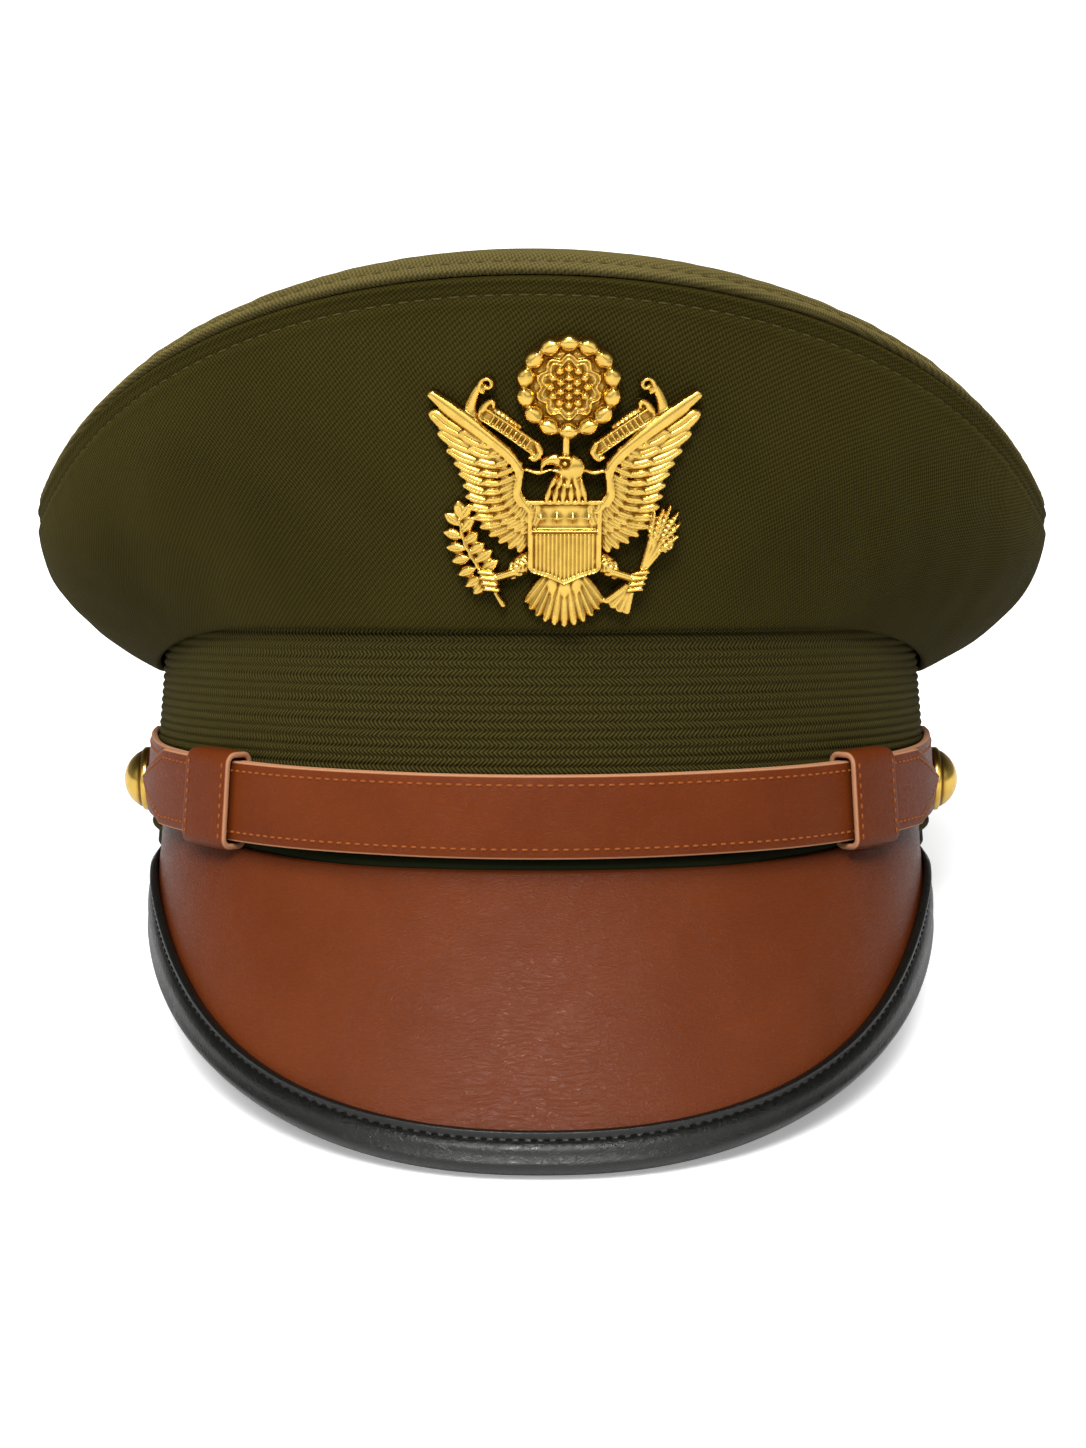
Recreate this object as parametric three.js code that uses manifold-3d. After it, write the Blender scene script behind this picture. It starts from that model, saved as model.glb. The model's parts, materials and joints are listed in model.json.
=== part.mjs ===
// A peaked officer's service cap: an olive cloth crown over a ribbed braid band, with a leather
// peak bound in black, a buttoned leather chin strap and a gilt eagle badge. It stands as it does
// on a table, on the tip of its peak and the back of its band, and its front looks along -Y.
import * as THREE from "three";
import { mergeVertices } from "three/addons/utils/BufferGeometryUtils.js";
import Module from "manifold-3d";

const wasm = await Module();
wasm.setup();

// Driving dimensions, in millimetres and degrees. Heights are above the rim of the band.
const clearance = 0.3; // what two touching pieces keep between them
const facets = 44; // sides of every oval ring, shared so that the rings nest

const headBreadth = 174.6; // inside of the band at its rim, ear to ear
const headLength = 199; // the same, brow to nape
const bandHeight = 53;
const bandWall = 2.5;
const bandDraw = 4.4; // how far the band leans in on each side by its top edge
const braidWall = 1.4;
const braidRibs = 12;
const ribDepth = 0.45;
const weltHeight = 4; // the cloth roll round the foot of the band
const weltDepth = 2.4;

const crownWall = 2;
const crownOverlapFront = 3; // how far the crown hangs down over the braid
const crownOverlapBack = 15;
const rimFront = 116; // where the rim seam lies, from the middle of the band
const rimSide = 116.2;
const rimBack = 131;
const rimFrontHeight = 116.8;
const rimSideHeight = 75.5;
const rimBackHeight = 70;
const rimDroop = 0.6; // how much lower the wearer's left shoulder of the rim sits than the right
const rimRake = 29.5; // how steeply the raised front of the rim falls away backwards
const rimEase = 5; // how softly the rake levels out at the sides
const crownRiseFront = 79; // steepness of the cloth where it leaves the braid
const crownRiseSide = 25;
const crownLeanFront = 80; // steepness of the cloth where it reaches the rim seam
const crownLeanSide = 103;
const crownFullness = 0.4;
const rollHeightFront = 5.8; // the rounded edge of the top panel, above the rim seam
const rollHeightSide = 4.5;
const rollDepth = 9;
const topSag = 3;

const peakThickness = 2.6;
const peakHalfWidth = 85.6;
const peakReach = 135; // how far the tip lies ahead of the middle of the band
const peakRoot = 15; // how far ahead of the middle its outer edge begins
const peakDrop = 49.4;
const peakEndDrop = 7; // how far its outer edge hangs at its two ends
const peakSquareness = 2.29; // 2 makes its edge an ellipse, more makes it squarer
const peakCrown = 2.5; // how far its face bulges
const peakSweep = 82; // bearing of each end of its sewn edge
const peakSeatFront = 3.3; // its sewn edge outside the band's face, at the middle
const peakSeatEnd = -0.5;
const bindingWidth = 5.8;
const bindingWall = 1.2;
const bindingRoom = 0.45; // what the binding keeps over both faces of the leather

const strapWidth = 16.2;
const strapHeight = 14; // height of its middle line at the front
const strapRise = 4; // how much that line climbs towards the sides
const strapWall = 1.6;
const underStrapWall = 1.4;
const strapTip = 67.5; // bearing of each pointed tip
const strapPoint = 7.5; // bearing that each point takes up
const keeperBearing = 45.4;
const keeperWidth = 14.8;
const keeperWall = 1.3;
const keeperRoom = 0.6; // space above and below the strap inside a keeper

const buttonBearing = 88;
const buttonHeight = 13.5;
const buttonRadius = 7.5;
const buttonDome = 5.2;
const shankRadius = 1.5;

const badgeHeight = 78; // of the badge's middle, above the rim
const badgeAside = 4.4; // the badge is pinned this far to the wearer's left
const badgeGap = 1.1;
const badgePlate = 1.1;
const badgeRelief = 1.5;
const nutRadius = 6;
const nutThickness = 1.8;

const restSink = 0.25; // how far the welt and the binding flatten where they rest

// Materials
const material = (color, roughness, metalness = 0) =>
  new THREE.MeshStandardMaterial({ color, roughness, metalness });
const oliveCloth = material(0x48431f, 0.95);
const braidCloth = material(0x3f3e20, 0.9);
const bandCloth = material(0x2a2e19, 0.95);
const russetLeather = material(0x8a4420, 0.45);
const blackLeather = material(0x14150f, 0.4);
const giltBrass = material(0xd9a93a, 0.3, 1);

// Small helpers
const rad = THREE.MathUtils.degToRad;
const lerp = THREE.MathUtils.lerp;
const smooth = THREE.MathUtils.smoothstep;
const range = (n) => Array.from({ length: n }, (_, i) => i);
const bearings = range(facets).map((i) => (2 * Math.PI * i) / facets);

// Welds a geometry's shared points, drops the triangles that this closes up, and turns every
// face outwards.
function closed(geometry) {
  const bare = geometry.clone();
  bare.deleteAttribute("normal");
  bare.deleteAttribute("uv");
  const welded = mergeVertices(bare, 1e-4);
  const index = welded.index.array;
  const at = (i) => new THREE.Vector3().fromBufferAttribute(welded.attributes.position, i);
  const kept = [];
  let volume = 0;
  for (let i = 0; i < index.length; i += 3) {
    const [a, b, c] = index.slice(i, i + 3);
    if (a === b || b === c || c === a) continue;
    kept.push(a, b, c);
    volume += at(a).dot(at(b).cross(at(c)));
  }
  welded.setIndex(volume < 0 ? kept.reverse() : kept);
  welded.computeVertexNormals();
  return welded;
}

// Sections carried one after another into a solid. Each section is a ring of points, one for one
// with the next. A solid that doesn't close on itself is capped at both ends, straight across.
function carried(sections, loops) {
  const round = sections[0].length;
  const index = [];
  const quad = (a, b, c, d) => index.push(a, b, c, a, c, d);
  for (const i of range(loops ? sections.length : sections.length - 1)) {
    const here = i * round;
    const next = ((i + 1) % sections.length) * round;
    for (const j of range(round)) {
      const k = (j + 1) % round;
      quad(here + j, next + j, next + k, here + k);
    }
  }
  if (!loops) {
    const last = (sections.length - 1) * round;
    for (const j of range(round / 2 - 1)) {
      const k = round - 1 - j;
      quad(j, j + 1, k - 1, k);
      quad(last + j, last + k, last + k - 1, last + j + 1);
    }
  }
  return closed(new THREE.BufferGeometry().setFromPoints(sections.flat()).setIndex(index));
}

// The ring of points of a wall, from its outer points and its inner ones.
const between = (outer, inner) => [...outer, ...[...inner].reverse()];

// Unit normals of a grid of points, rows by columns, from the neighbours of each point.
function gridNormals(grid, loops) {
  const rows = grid.length;
  const step = (i) => (loops ? (i + rows) % rows : THREE.MathUtils.clamp(i, 0, rows - 1));
  return grid.map((row, i) =>
    row.map((_, j) => {
      const along = grid[step(i + 1)][j].clone().sub(grid[step(i - 1)][j]);
      const up = row[Math.min(j + 1, row.length - 1)].clone().sub(row[Math.max(j - 1, 0)]);
      return along.cross(up).normalize();
    }),
  );
}

// A closed row of columns of points made a wall by pushing each point inwards along its normal.
// The directions of some steps of the columns are given instead, as functions of the bearing.
function clothWall(grid, thickness, given) {
  const normals = gridNormals(grid, true);
  const inward = (p, i, j) => {
    const direction = given[j] ? given[j](bearings[i]) : normals[i][j];
    return p.clone().addScaledVector(direction, -thickness);
  };
  return carried(
    grid.map((outer, i) => between(outer, outer.map((p, j) => inward(p, i, j)))),
    true,
  );
}

// Booleans
function solidOf(geometry) {
  const { position } = geometry.attributes;
  return new wasm.Manifold(
    new wasm.Mesh({
      numProp: 3,
      vertProperties: new Float32Array(position.array),
      triVerts: new Uint32Array(geometry.index.array),
    }),
  );
}

function geometryOf(solid) {
  const { vertProperties, triVerts } = solid.getMesh();
  const geometry = new THREE.BufferGeometry();
  geometry.setAttribute("position", new THREE.BufferAttribute(vertProperties, 3));
  geometry.setIndex(new THREE.BufferAttribute(triVerts, 1));
  geometry.computeVertexNormals();
  return geometry;
}

function without(geometry, ...tools) {
  const cut = tools.reduce((left, tool) => left.subtract(solidOf(closed(tool))), solidOf(geometry));
  return geometryOf(cut);
}

function joined(geometries) {
  const solids = geometries.map((geometry) => solidOf(closed(geometry)));
  return geometryOf(solids.reduce((whole, solid) => whole.add(solid)));
}

// A round rod from one point to another.
function rod(from, to, radius, sides = 12) {
  const axis = to.clone().sub(from);
  const geometry = new THREE.CylinderGeometry(radius, radius, axis.length(), sides);
  geometry.applyQuaternion(
    new THREE.Quaternion().setFromUnitVectors(new THREE.Vector3(0, 1, 0), axis.normalize()),
  );
  return geometry.translate(...from.clone().add(to).multiplyScalar(0.5));
}

// The band
// A point of the head's oval, grown by an offset, at a bearing measured from the front.
function onOval(bearing, offset, z) {
  return new THREE.Vector3(
    (headBreadth / 2 + offset) * Math.sin(bearing),
    -(headLength / 2 + offset) * Math.cos(bearing),
    z,
  );
}

// Offsets of the band's inside, of its outside and of the braid's outside, at a height.
const bandInside = (z) => (-bandDraw * z) / bandHeight;
const bandFace = (z) => bandInside(z) + bandWall;
const braidFace = (z) => bandFace(z) + clearance + braidWall;

// An oval ring whose section is given by pairs of offset and height.
function ovalRing(section) {
  return carried(
    bearings.map((b) => section.map(([offset, z]) => onOval(b, offset, z))),
    true,
  );
}

function bandGeometry() {
  return ovalRing([
    [bandFace(0), 0],
    [bandFace(bandHeight), bandHeight],
    [bandInside(bandHeight), bandHeight],
    [bandInside(0), 0],
  ]);
}

// The braid's outside is a row of ribs, two points to a rib.
function braidGeometry() {
  const foot = weltHeight + clearance;
  const steps = 2 * braidRibs;
  const heights = range(steps + 1).map((i) => lerp(foot, bandHeight, i / steps));
  return ovalRing([
    ...heights.map((z, i) => [braidFace(z) - (i % 2 ? 0 : ribDepth), z]),
    [bandFace(bandHeight) + clearance, bandHeight],
    [bandFace(foot) + clearance, foot],
  ]);
}

// The roll is oval in section, and lies against the foot of the band.
function weltGeometry() {
  const section = range(6).map((i) => {
    const angle = rad(90 - 60 * i);
    const z = (weltHeight / 2) * (1 + Math.sin(angle));
    return [bandFace(0) + clearance + (weltDepth / 2) * (1 + Math.cos(angle)), z];
  });
  return ovalRing(section);
}

// The crown
const backness = (bearing) => (1 - Math.cos(bearing)) / 2;

// How far the crown's cloth hangs below the top of the band. It drops towards the sides.
function crownOverlap(bearing) {
  return lerp(crownOverlapFront, crownOverlapBack, smooth(backness(bearing), 0.1, 0.55));
}

function rimHeight(bearing, y) {
  const raked = rimFrontHeight - Math.tan(rad(rimRake)) * (y + rimFront);
  const level = lerp(rimSideHeight, rimBackHeight, smooth(backness(bearing), 0.5, 1));
  const above = raked - level;
  const even = level + rimEase * Math.log1p(Math.exp(above / rimEase));
  return even - rimDroop * Math.sin(2 * bearing);
}

// The rim seam, between the sides of the crown and its top panel.
function rimPoint(bearing) {
  const depth = lerp(rimFront, rimBack, backness(bearing));
  const y = -depth * Math.cos(bearing);
  return new THREE.Vector3(rimSide * Math.sin(bearing), y, rimHeight(bearing, y));
}

// The side of the crown at one bearing: where it starts on the braid, where it ends at the rim,
// and the directions in which it leaves the one and reaches the other.
function crownCourse(bearing) {
  const frontness = Math.max(0, Math.cos(bearing)) ** 1.5;
  const rise = rad(lerp(crownRiseSide, crownRiseFront, frontness));
  const lean = rad(lerp(crownLeanSide, crownLeanFront, frontness));
  const z = bandHeight - crownOverlap(bearing);
  const foot = onOval(bearing, braidFace(z) + clearance + crownWall * Math.sin(rise), z);
  const rim = rimPoint(bearing);
  const out = rim.clone().sub(foot).setZ(0).normalize();
  const towards = (angle) =>
    out.clone().multiplyScalar(Math.cos(angle)).setZ(Math.sin(angle));
  return { foot, rim, out, leaving: towards(rise), arriving: towards(lean) };
}

function crownCurve(bearing) {
  const { foot, rim, leaving, arriving } = crownCourse(bearing);
  const reach = crownFullness * foot.distanceTo(rim);
  return new THREE.CubicBezierCurve3(
    foot,
    foot.clone().addScaledVector(leaving, reach),
    rim.clone().addScaledVector(arriving, -reach),
    rim,
  );
}

const crownSteps = 6; // steps of the crown's side, from the braid to the rim seam
const atRim = (bearing) => crownCourse(bearing).out;

function crownSideGeometry() {
  const grid = bearings.map((b) => crownCurve(b).getPoints(crownSteps));
  return clothWall(grid, crownWall, { [crownSteps]: atRim });
}

const rollHeight = (bearing) =>
  lerp(rollHeightFront, rollHeightSide, Math.min(1, 2 * backness(bearing)));

// The highest line of the rounded edge, just inside the rim seam.
function ridgePoint(bearing) {
  const { rim, out, arriving } = crownCourse(bearing);
  const start = rim.clone().addScaledVector(arriving, clearance);
  return start.addScaledVector(out, -rollDepth).setZ(start.z + rollHeight(bearing));
}

// Cosine terms of the ridge's height round the crown. Each term, fading towards the middle by
// its own power of the radius, gives the height of cloth stretched over the ridge.
const ridgeTerms = range(8).map((n) => {
  const sum = bearings.reduce((total, b) => total + ridgePoint(b).z * Math.cos(n * b), 0);
  return (sum * (n ? 2 : 1)) / facets;
});

function stretchedHeight(share, bearing) {
  const taut = ridgeTerms.reduce((z, c, n) => z + c * share ** n * Math.cos(n * bearing), 0);
  return taut - topSag * (1 - share ** 2);
}

function crownTopGeometry() {
  const middleY = (rimBack - rimFront) / 2;
  const rollSteps = [0, 38, 90];
  const shares = [0.85, 0.58, 0.28, 0];
  const grid = bearings.map((b) => {
    const { rim, out, arriving } = crownCourse(b);
    const seam = rim.clone().addScaledVector(arriving, clearance);
    const roll = rollSteps.map((angle) =>
      seam
        .clone()
        .addScaledVector(out, -rollDepth * (1 - Math.cos(rad(angle))))
        .setZ(seam.z + rollHeight(b) * Math.sin(rad(angle))),
    );
    const ridge = ridgePoint(b);
    const field = shares.map(
      (share) =>
        new THREE.Vector3(
          ridge.x * share,
          lerp(middleY, ridge.y, share),
          stretchedHeight(share, b),
        ),
    );
    return [...roll, ...field];
  });
  const middle = rollSteps.length + shares.length - 1;
  return clothWall(grid, crownWall, { 0: atRim, [middle]: () => new THREE.Vector3(0, 0, 1) });
}

// The peak
// Its middle surface runs from the sewn edge, at across 0, to the outer line of the binding,
// at across 1. Along goes from -1 at one end to 1 at the other.
function peakPoint(along, across) {
  const bearing = rad(peakSweep) * along;
  const seat = lerp(peakSeatFront, peakSeatEnd, along ** 2) - peakThickness / 2;
  const sewn = onOval(bearing, bandFace(0) + seat, lerp(-0.9, -peakThickness / 2, along ** 2));
  const turn = (Math.PI / 2) * along;
  const power = 2 / peakSquareness;
  const forward = Math.max(0, Math.cos(turn)) ** power;
  const edge = new THREE.Vector3(
    Math.sign(along) * peakHalfWidth * Math.abs(Math.sin(turn)) ** power,
    -lerp(peakRoot, peakReach, forward),
    -lerp(peakEndDrop, peakDrop, forward),
  );
  const bulge = peakCrown * 4 * across * (1 - across) * Math.cos(turn);
  const outward = new THREE.Vector3(Math.sin(bearing), -Math.cos(bearing), 1).normalize();
  return sewn.lerp(edge, across).addScaledVector(outward, bulge);
}

const peakSpan = (along) => peakPoint(along, 0).distanceTo(peakPoint(along, 1));

// Outward normal of the peak's middle surface.
function peakNormal(along, across) {
  const nudge = 0.01;
  const ahead = peakPoint(Math.min(along + nudge, 1), across);
  const behind = peakPoint(Math.max(along - nudge, -1), across);
  const out = peakPoint(along, across).sub(peakPoint(along, across - nudge));
  return out.cross(ahead.sub(behind)).normalize();
}

// The sections stand closer together towards the two ends, where the leather twists.
const peakSteps = range(27).map((i) => {
  const even = (i - 13) / 13;
  return (even + Math.sin((Math.PI / 2) * even)) / 2;
});
const peakEdge = clearance + bindingWall; // the leather ends this far inside the binding's line
const flapWidth = (along) => Math.min(bindingWidth - peakEdge, peakSpan(along) / 2);

function peakGeometry() {
  const half = peakThickness / 2;
  const rows = peakSteps.map((along) => {
    const edge = 1 - peakEdge / peakSpan(along);
    const hem = edge - flapWidth(along) / peakSpan(along);
    const shares = [0, hem / 3, (2 * hem) / 3, hem, edge];
    const face = (distance) =>
      shares.map((t) => peakPoint(along, t).addScaledVector(peakNormal(along, t), distance));
    return between(face(half), face(-half));
  });
  return carried(rows, false);
}

// The binding folds round the peak's edge. Each section point is a distance out from the
// leather's edge and a height over the middle surface.
function bindingGeometry() {
  const inside = peakThickness / 2 + bindingRoom;
  const outside = inside + bindingWall;
  const rows = peakSteps.map((along) => {
    const span = peakSpan(along);
    const flap = flapWidth(along);
    const place = ([out, up]) => {
      const across = 1 + (out - peakEdge) / span;
      return peakPoint(along, across).addScaledVector(peakNormal(along, Math.min(across, 1)), up);
    };
    const fold = (end, corner, height) =>
      [
        [-flap, height],
        [end - corner, height],
        [end, height - corner],
        [end, corner - height],
        [end - corner, -height],
        [-flap, -height],
      ].map(place);
    return between(fold(peakEdge, bindingWall, outside), fold(clearance, clearance, inside));
  });
  return carried(rows, false);
}

// The chin strap
const strapMiddle = (bearing) => strapHeight + strapRise * (1 - Math.cos(bearing));

// The straps lie close to the braid, and stand off it where the keepers pass behind them.
function standOff(bearing) {
  const angle = THREE.MathUtils.radToDeg(Math.abs(bearing));
  const under = keeperWall + clearance;
  return clearance + under * smooth(angle, 18, 36) * (1 - smooth(angle, 60, 78));
}

// A strap of leather round the front, between two depths over the braid. Its half width at each
// bearing is given, so that its ends can be pointed or round.
function strapGeometry(stops, near, far, halfWidth) {
  const rows = stops.map((degrees) => {
    const bearing = rad(degrees);
    const middle = strapMiddle(bearing);
    const reach = halfWidth(Math.abs(degrees));
    const side = (depth) =>
      [-1, 1].map((k) => {
        const z = middle + k * reach;
        return onOval(bearing, braidFace(z) + standOff(bearing) + depth, z);
      });
    return between(side(far), side(near));
  });
  return carried(rows, false);
}

const mirrored = (stops) => [...[...stops].reverse().map((s) => -s), ...stops.filter((s) => s)];

function strapStops(end, extra) {
  const even = range(Math.floor(end / 5)).map((i) => 5 * i);
  return mirrored([...even.filter((s) => s < extra[0]), ...extra]);
}

// The outer strap runs from pointed tip to pointed tip.
function chinStrapGeometry() {
  const near = underStrapWall + clearance;
  const shoulder = strapTip - strapPoint;
  return strapGeometry(
    strapStops(strapTip, [shoulder, strapTip]),
    near,
    near + strapWall,
    (angle) => (strapWidth / 2) * Math.min(1, (strapTip - angle) / strapPoint + 0.06),
  );
}

// The under strap runs on to the buttons, and its ends are rounded about them.
function underStrapGeometry() {
  const endHalf = strapWidth / 2;
  const degreesPer = THREE.MathUtils.radToDeg(1 / (headLength / 2 + braidFace(0)));
  const end = buttonBearing + endHalf * degreesPer;
  const ends = [0, 0.35, 0.7, 0.92].map((share) => buttonBearing + (end - buttonBearing) * share);
  const halfWidth = (angle) => {
    const past = Math.max(0, angle - buttonBearing) / (end - buttonBearing);
    return endHalf * Math.sqrt(1 - past ** 2);
  };
  return strapGeometry(strapStops(end, ends), 0, underStrapWall, halfWidth);
}

// A keeper is a leather loop round both straps. Its loop is a rounded rectangle in depth and
// height, and it bends with the strap across its width.
function keeperGeometry(side) {
  const halfWidth = keeperWidth / 2 / (headLength / 2);
  const middle = side * rad(keeperBearing);
  const columns = range(5).map((i) => middle + halfWidth * (i / 2 - 1));
  const near = -clearance;
  const far = underStrapWall + strapWall + 2 * clearance;
  const half = strapWidth / 2 + keeperRoom;
  const corner = 0.9;
  const loop = (grow) => {
    const shape = [
      [far + grow, half - corner],
      [far - corner + grow * 0.7, half + grow * 0.7],
      [near, half + grow],
      [near - grow, half],
    ];
    const lower = [...shape].reverse().map(([depth, up]) => [depth, -up]);
    return [...shape, ...lower];
  };
  const place = ([depth, up]) =>
    columns.map((bearing) => {
      const z = strapMiddle(bearing) + up;
      return onOval(bearing, braidFace(z) + standOff(middle) + depth, z);
    });
  const outside = loop(keeperWall).map(place);
  const inside = loop(0).map(place);
  return carried(outside.map((outer, i) => between(outer, inside[i])), true);
}

// The side buttons
// Each turns about a line square to the band at its bearing.
function buttonFrame(side) {
  const bearing = side * rad(buttonBearing);
  const seat = standOff(bearing) + underStrapWall + clearance;
  const face = onOval(bearing, braidFace(buttonHeight) + seat, buttonHeight);
  const ahead = onOval(bearing, braidFace(buttonHeight) + seat + 1, buttonHeight);
  return { face, axis: ahead.sub(face).normalize() };
}

const shankLength = 9.5; // reaches just inside the band

function buttonGeometry() {
  const profile = [
    [0, -shankLength],
    [shankRadius, -shankLength],
    [shankRadius, 0],
    [buttonRadius - 0.6, 0],
    [buttonRadius, 0.5],
    [buttonRadius, 1.1],
    [buttonRadius - 0.5, 1.5],
    ...[60, 40, 20, 0].map((angle) => [
      (buttonRadius - 0.8) * Math.sin(rad(angle)),
      lerp(1.5, buttonDome, Math.cos(rad(angle)) * 2 - 1),
    ]),
  ].map(([x, y]) => new THREE.Vector2(x, y));
  return closed(new THREE.LatheGeometry(profile, 16));
}

// The hole that a button's shank passes through.
function shankHole(side) {
  const { face, axis } = buttonFrame(side);
  const reach = axis.clone().multiplyScalar(2 * shankLength);
  return rod(face.clone().sub(reach), face.clone().add(reach), shankRadius + clearance);
}

// The badge
// It is drawn flat, with u to the right, v up and w out from the cap, about its own middle.
const flatPoint = (u, v, w) => new THREE.Vector3(u, v, w);

// A long leaf, feather or ray: a flat foot, low edges and a ridge along its middle.
function blade(from, to, width, height, foot = 0) {
  const axis = to.clone().sub(from);
  const side = new THREE.Vector2(-axis.y, axis.x).normalize().multiplyScalar(width / 2);
  const at = (share, swing, w) => {
    const p = from.clone().addScaledVector(axis, share).addScaledVector(side, swing);
    return new THREE.Vector3(p.x, p.y, w);
  };
  const outline = [[0, 0.5], [0.72, 1], [1, 0], [0.72, -1], [0, -0.5]];
  const edge = foot + height * 0.45;
  const points = [
    ...outline.map(([share, swing]) => at(share, swing, foot)),
    ...outline.map(([share, swing]) => at(share, swing, edge)),
    at(0, 0, foot + height),
    at(0.75, 0, foot + height),
  ];
  const [root, peak] = [10, 11];
  const sides = range(5).flatMap((i) => {
    const k = (i + 1) % 5;
    return [i, k, 5 + k, i, 5 + k, 5 + i];
  });
  const foots = [0, 2, 1, 0, 3, 2, 0, 4, 3];
  const slopes = [5, 6, root, 6, peak, root, 6, 7, peak, 7, 8, peak, 8, root, peak, 8, 9, root, 9, 5, root];
  return new THREE.BufferGeometry().setFromPoints(points).setIndex([...sides, ...foots, ...slopes]);
}

// A plate cut to an outline of u and v, from w = foot to w = foot + height, with sloped edges.
function plate(outline, height, foot = 0, bevel = 0.35) {
  const shape = new THREE.Shape(outline.map(([u, v]) => new THREE.Vector2(u, v)));
  return new THREE.ExtrudeGeometry(shape, {
    depth: height - 2 * bevel,
    bevelThickness: bevel,
    bevelSize: bevel,
    bevelOffset: -bevel,
    bevelSegments: 1,
  }).translate(0, 0, foot + bevel);
}

const mirrorOutline = (half) => [...half, ...[...half].reverse().map(([u, v]) => [-u, v])];
const polar = (radius, angle, u = 0, v = 0) =>
  new THREE.Vector2(u + radius * Math.sin(rad(angle)), v + radius * Math.cos(rad(angle)));

// Each flight feather's root on the wing arm and its tip, right wing, in shares of the badge's
// half width and half height.
const flightFeathers = [
  { rootU: 0.7, rootV: 0.42, tipU: 1.0, tipV: 0.61 },
  { rootU: 0.56, rootV: 0.32, tipU: 0.94, tipV: 0.42 },
  { rootU: 0.47, rootV: 0.23, tipU: 0.87, tipV: 0.26 },
  { rootU: 0.41, rootV: 0.14, tipU: 0.81, tipV: 0.11 },
  { rootU: 0.37, rootV: 0.05, tipU: 0.76, tipV: -0.03 },
  { rootU: 0.34, rootV: -0.03, tipU: 0.69, tipV: -0.17 },
  { rootU: 0.3, rootV: -0.09, tipU: 0.59, tipV: -0.3 },
  { rootU: 0.25, rootV: -0.13, tipU: 0.46, tipV: -0.39 },
  { rootU: 0.2, rootV: -0.16, tipU: 0.33, tipV: -0.44 },
];

const badgeHalfWidth = 26;
const badgeHalfHeight = 28.5;
const inBadge = (u, v) => new THREE.Vector2(u * badgeHalfWidth, v * badgeHalfHeight);

function wingPieces(side) {
  const feathers = flightFeathers.map(({ rootU, rootV, tipU, tipV }) =>
    blade(inBadge(side * rootU, rootV), inBadge(side * tipU, tipV), 3.6, badgeRelief + badgePlate),
  );
  const arm = [
    [0.74, 0.47], [0.5, 0.33], [0.34, 0.2], [0.31, 0.05], [0.24, -0.06], [0.16, -0.1],
    [0.16, -0.18], [0.3, -0.16], [0.42, -0.02], [0.46, 0.14], [0.58, 0.28], [0.78, 0.42],
  ].map(([u, v]) => [side * u * badgeHalfWidth, v * badgeHalfHeight]);
  return [...feathers, plate(side < 0 ? arm.reverse() : arm, badgePlate + badgeRelief + 0.5)];
}

// A plain fluted shield with a plain head band.
function shieldPieces() {
  const half = mirrorOutline([[0, -18.2], [6.4, -15.8], [6.9, -14.6], [6.9, -2.8]]);
  const flutes = range(5).map((i) => {
    const u = (i - 2) * 2.4;
    const foot = -16.4 + Math.abs(u) * 0.36;
    return plate([[u - 0.7, foot], [u + 0.7, foot], [u + 0.7, -8.6], [u - 0.7, -8.6]], 0.8, 3.2, 0.2);
  });
  const head = plate([[-6, -7.8], [6, -7.8], [6, -3.6], [-6, -3.6]], 0.6, 3.4, 0.3);
  return [plate(half, 3.6), ...flutes, head];
}

// The bird's head and neck, turned to its own right.
function headPieces() {
  const profile = [
    [-4.7, 5], [-5, 3.5], [-3.3, 3.9], [-2, 3.3], [-2.3, 1.6], [-3.4, -0.6], [-4.2, -2.9],
    [4.4, -2.9], [4.1, 0.4], [3.9, 3.4], [3, 5.6], [1, 6.6], [-1.2, 6.5], [-3.3, 6],
  ];
  const skull = new THREE.SphereGeometry(1, 8, 6).scale(3.4, 2.7, 1.6).translate(0.4, 3.5, 2.8);
  return [plate(profile, 3.1), skull];
}

// The tail is a fan of feathers under the shield.
function tailPieces() {
  const root = new THREE.Vector2(0, -14.5);
  return [-38, -19, 0, 19, 38].map((angle) => {
    const tip = polar(13.6 - Math.abs(angle) * 0.03, 180 - angle, root.x, root.y);
    return blade(root, tip, 4.2, 2.3);
  });
}

// A plain rosette over the head: a ring of oval beads about a boss and petals.
function rosettePieces() {
  const [u, v] = [0, 18.4];
  const disc = new THREE.CylinderGeometry(9.9, 10.1, 1.6, 24).rotateX(Math.PI / 2);
  const beads = range(12).map((i) => {
    const spot = polar(8.5, i * 30, u, v);
    const bead = new THREE.SphereGeometry(1, 6, 4).scale(2.1, 1.6, 1.4);
    return bead.rotateZ(-rad(i * 30)).translate(spot.x, spot.y, 1.8);
  });
  const petals = range(6).map((i) =>
    blade(polar(1, i * 60, u, v), polar(6, i * 60, u, v), 3.2, 1.1, 1.3),
  );
  const boss = new THREE.SphereGeometry(1.7, 6, 4).translate(u, v, 2);
  const neck = plate([[-1, 5.6], [1, 5.6], [1, 9.8], [-1, 9.8]], 1.8);
  return [disc.translate(u, v, 0.8), ...beads, ...petals, boss, neck];
}

// A bare ribbon on each side of the rosette, ending in a curl.
function ribbonPieces(side) {
  const band = [
    [2.6, 4.4], [6, 4.2], [7.2, 6.4], [16.4, 12.2], [17.6, 17.2], [14, 17], [13.4, 14.2], [4.6, 8.6],
  ];
  const curl = new THREE.CylinderGeometry(2, 2, 2.4, 8).rotateX(Math.PI / 2);
  const outline = band.map(([u, v]) => [side * u, v]);
  return [
    plate(side < 0 ? outline.reverse() : outline, 2.2),
    curl.translate(side * 15.6, 17.9, 1.2),
  ];
}

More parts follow.
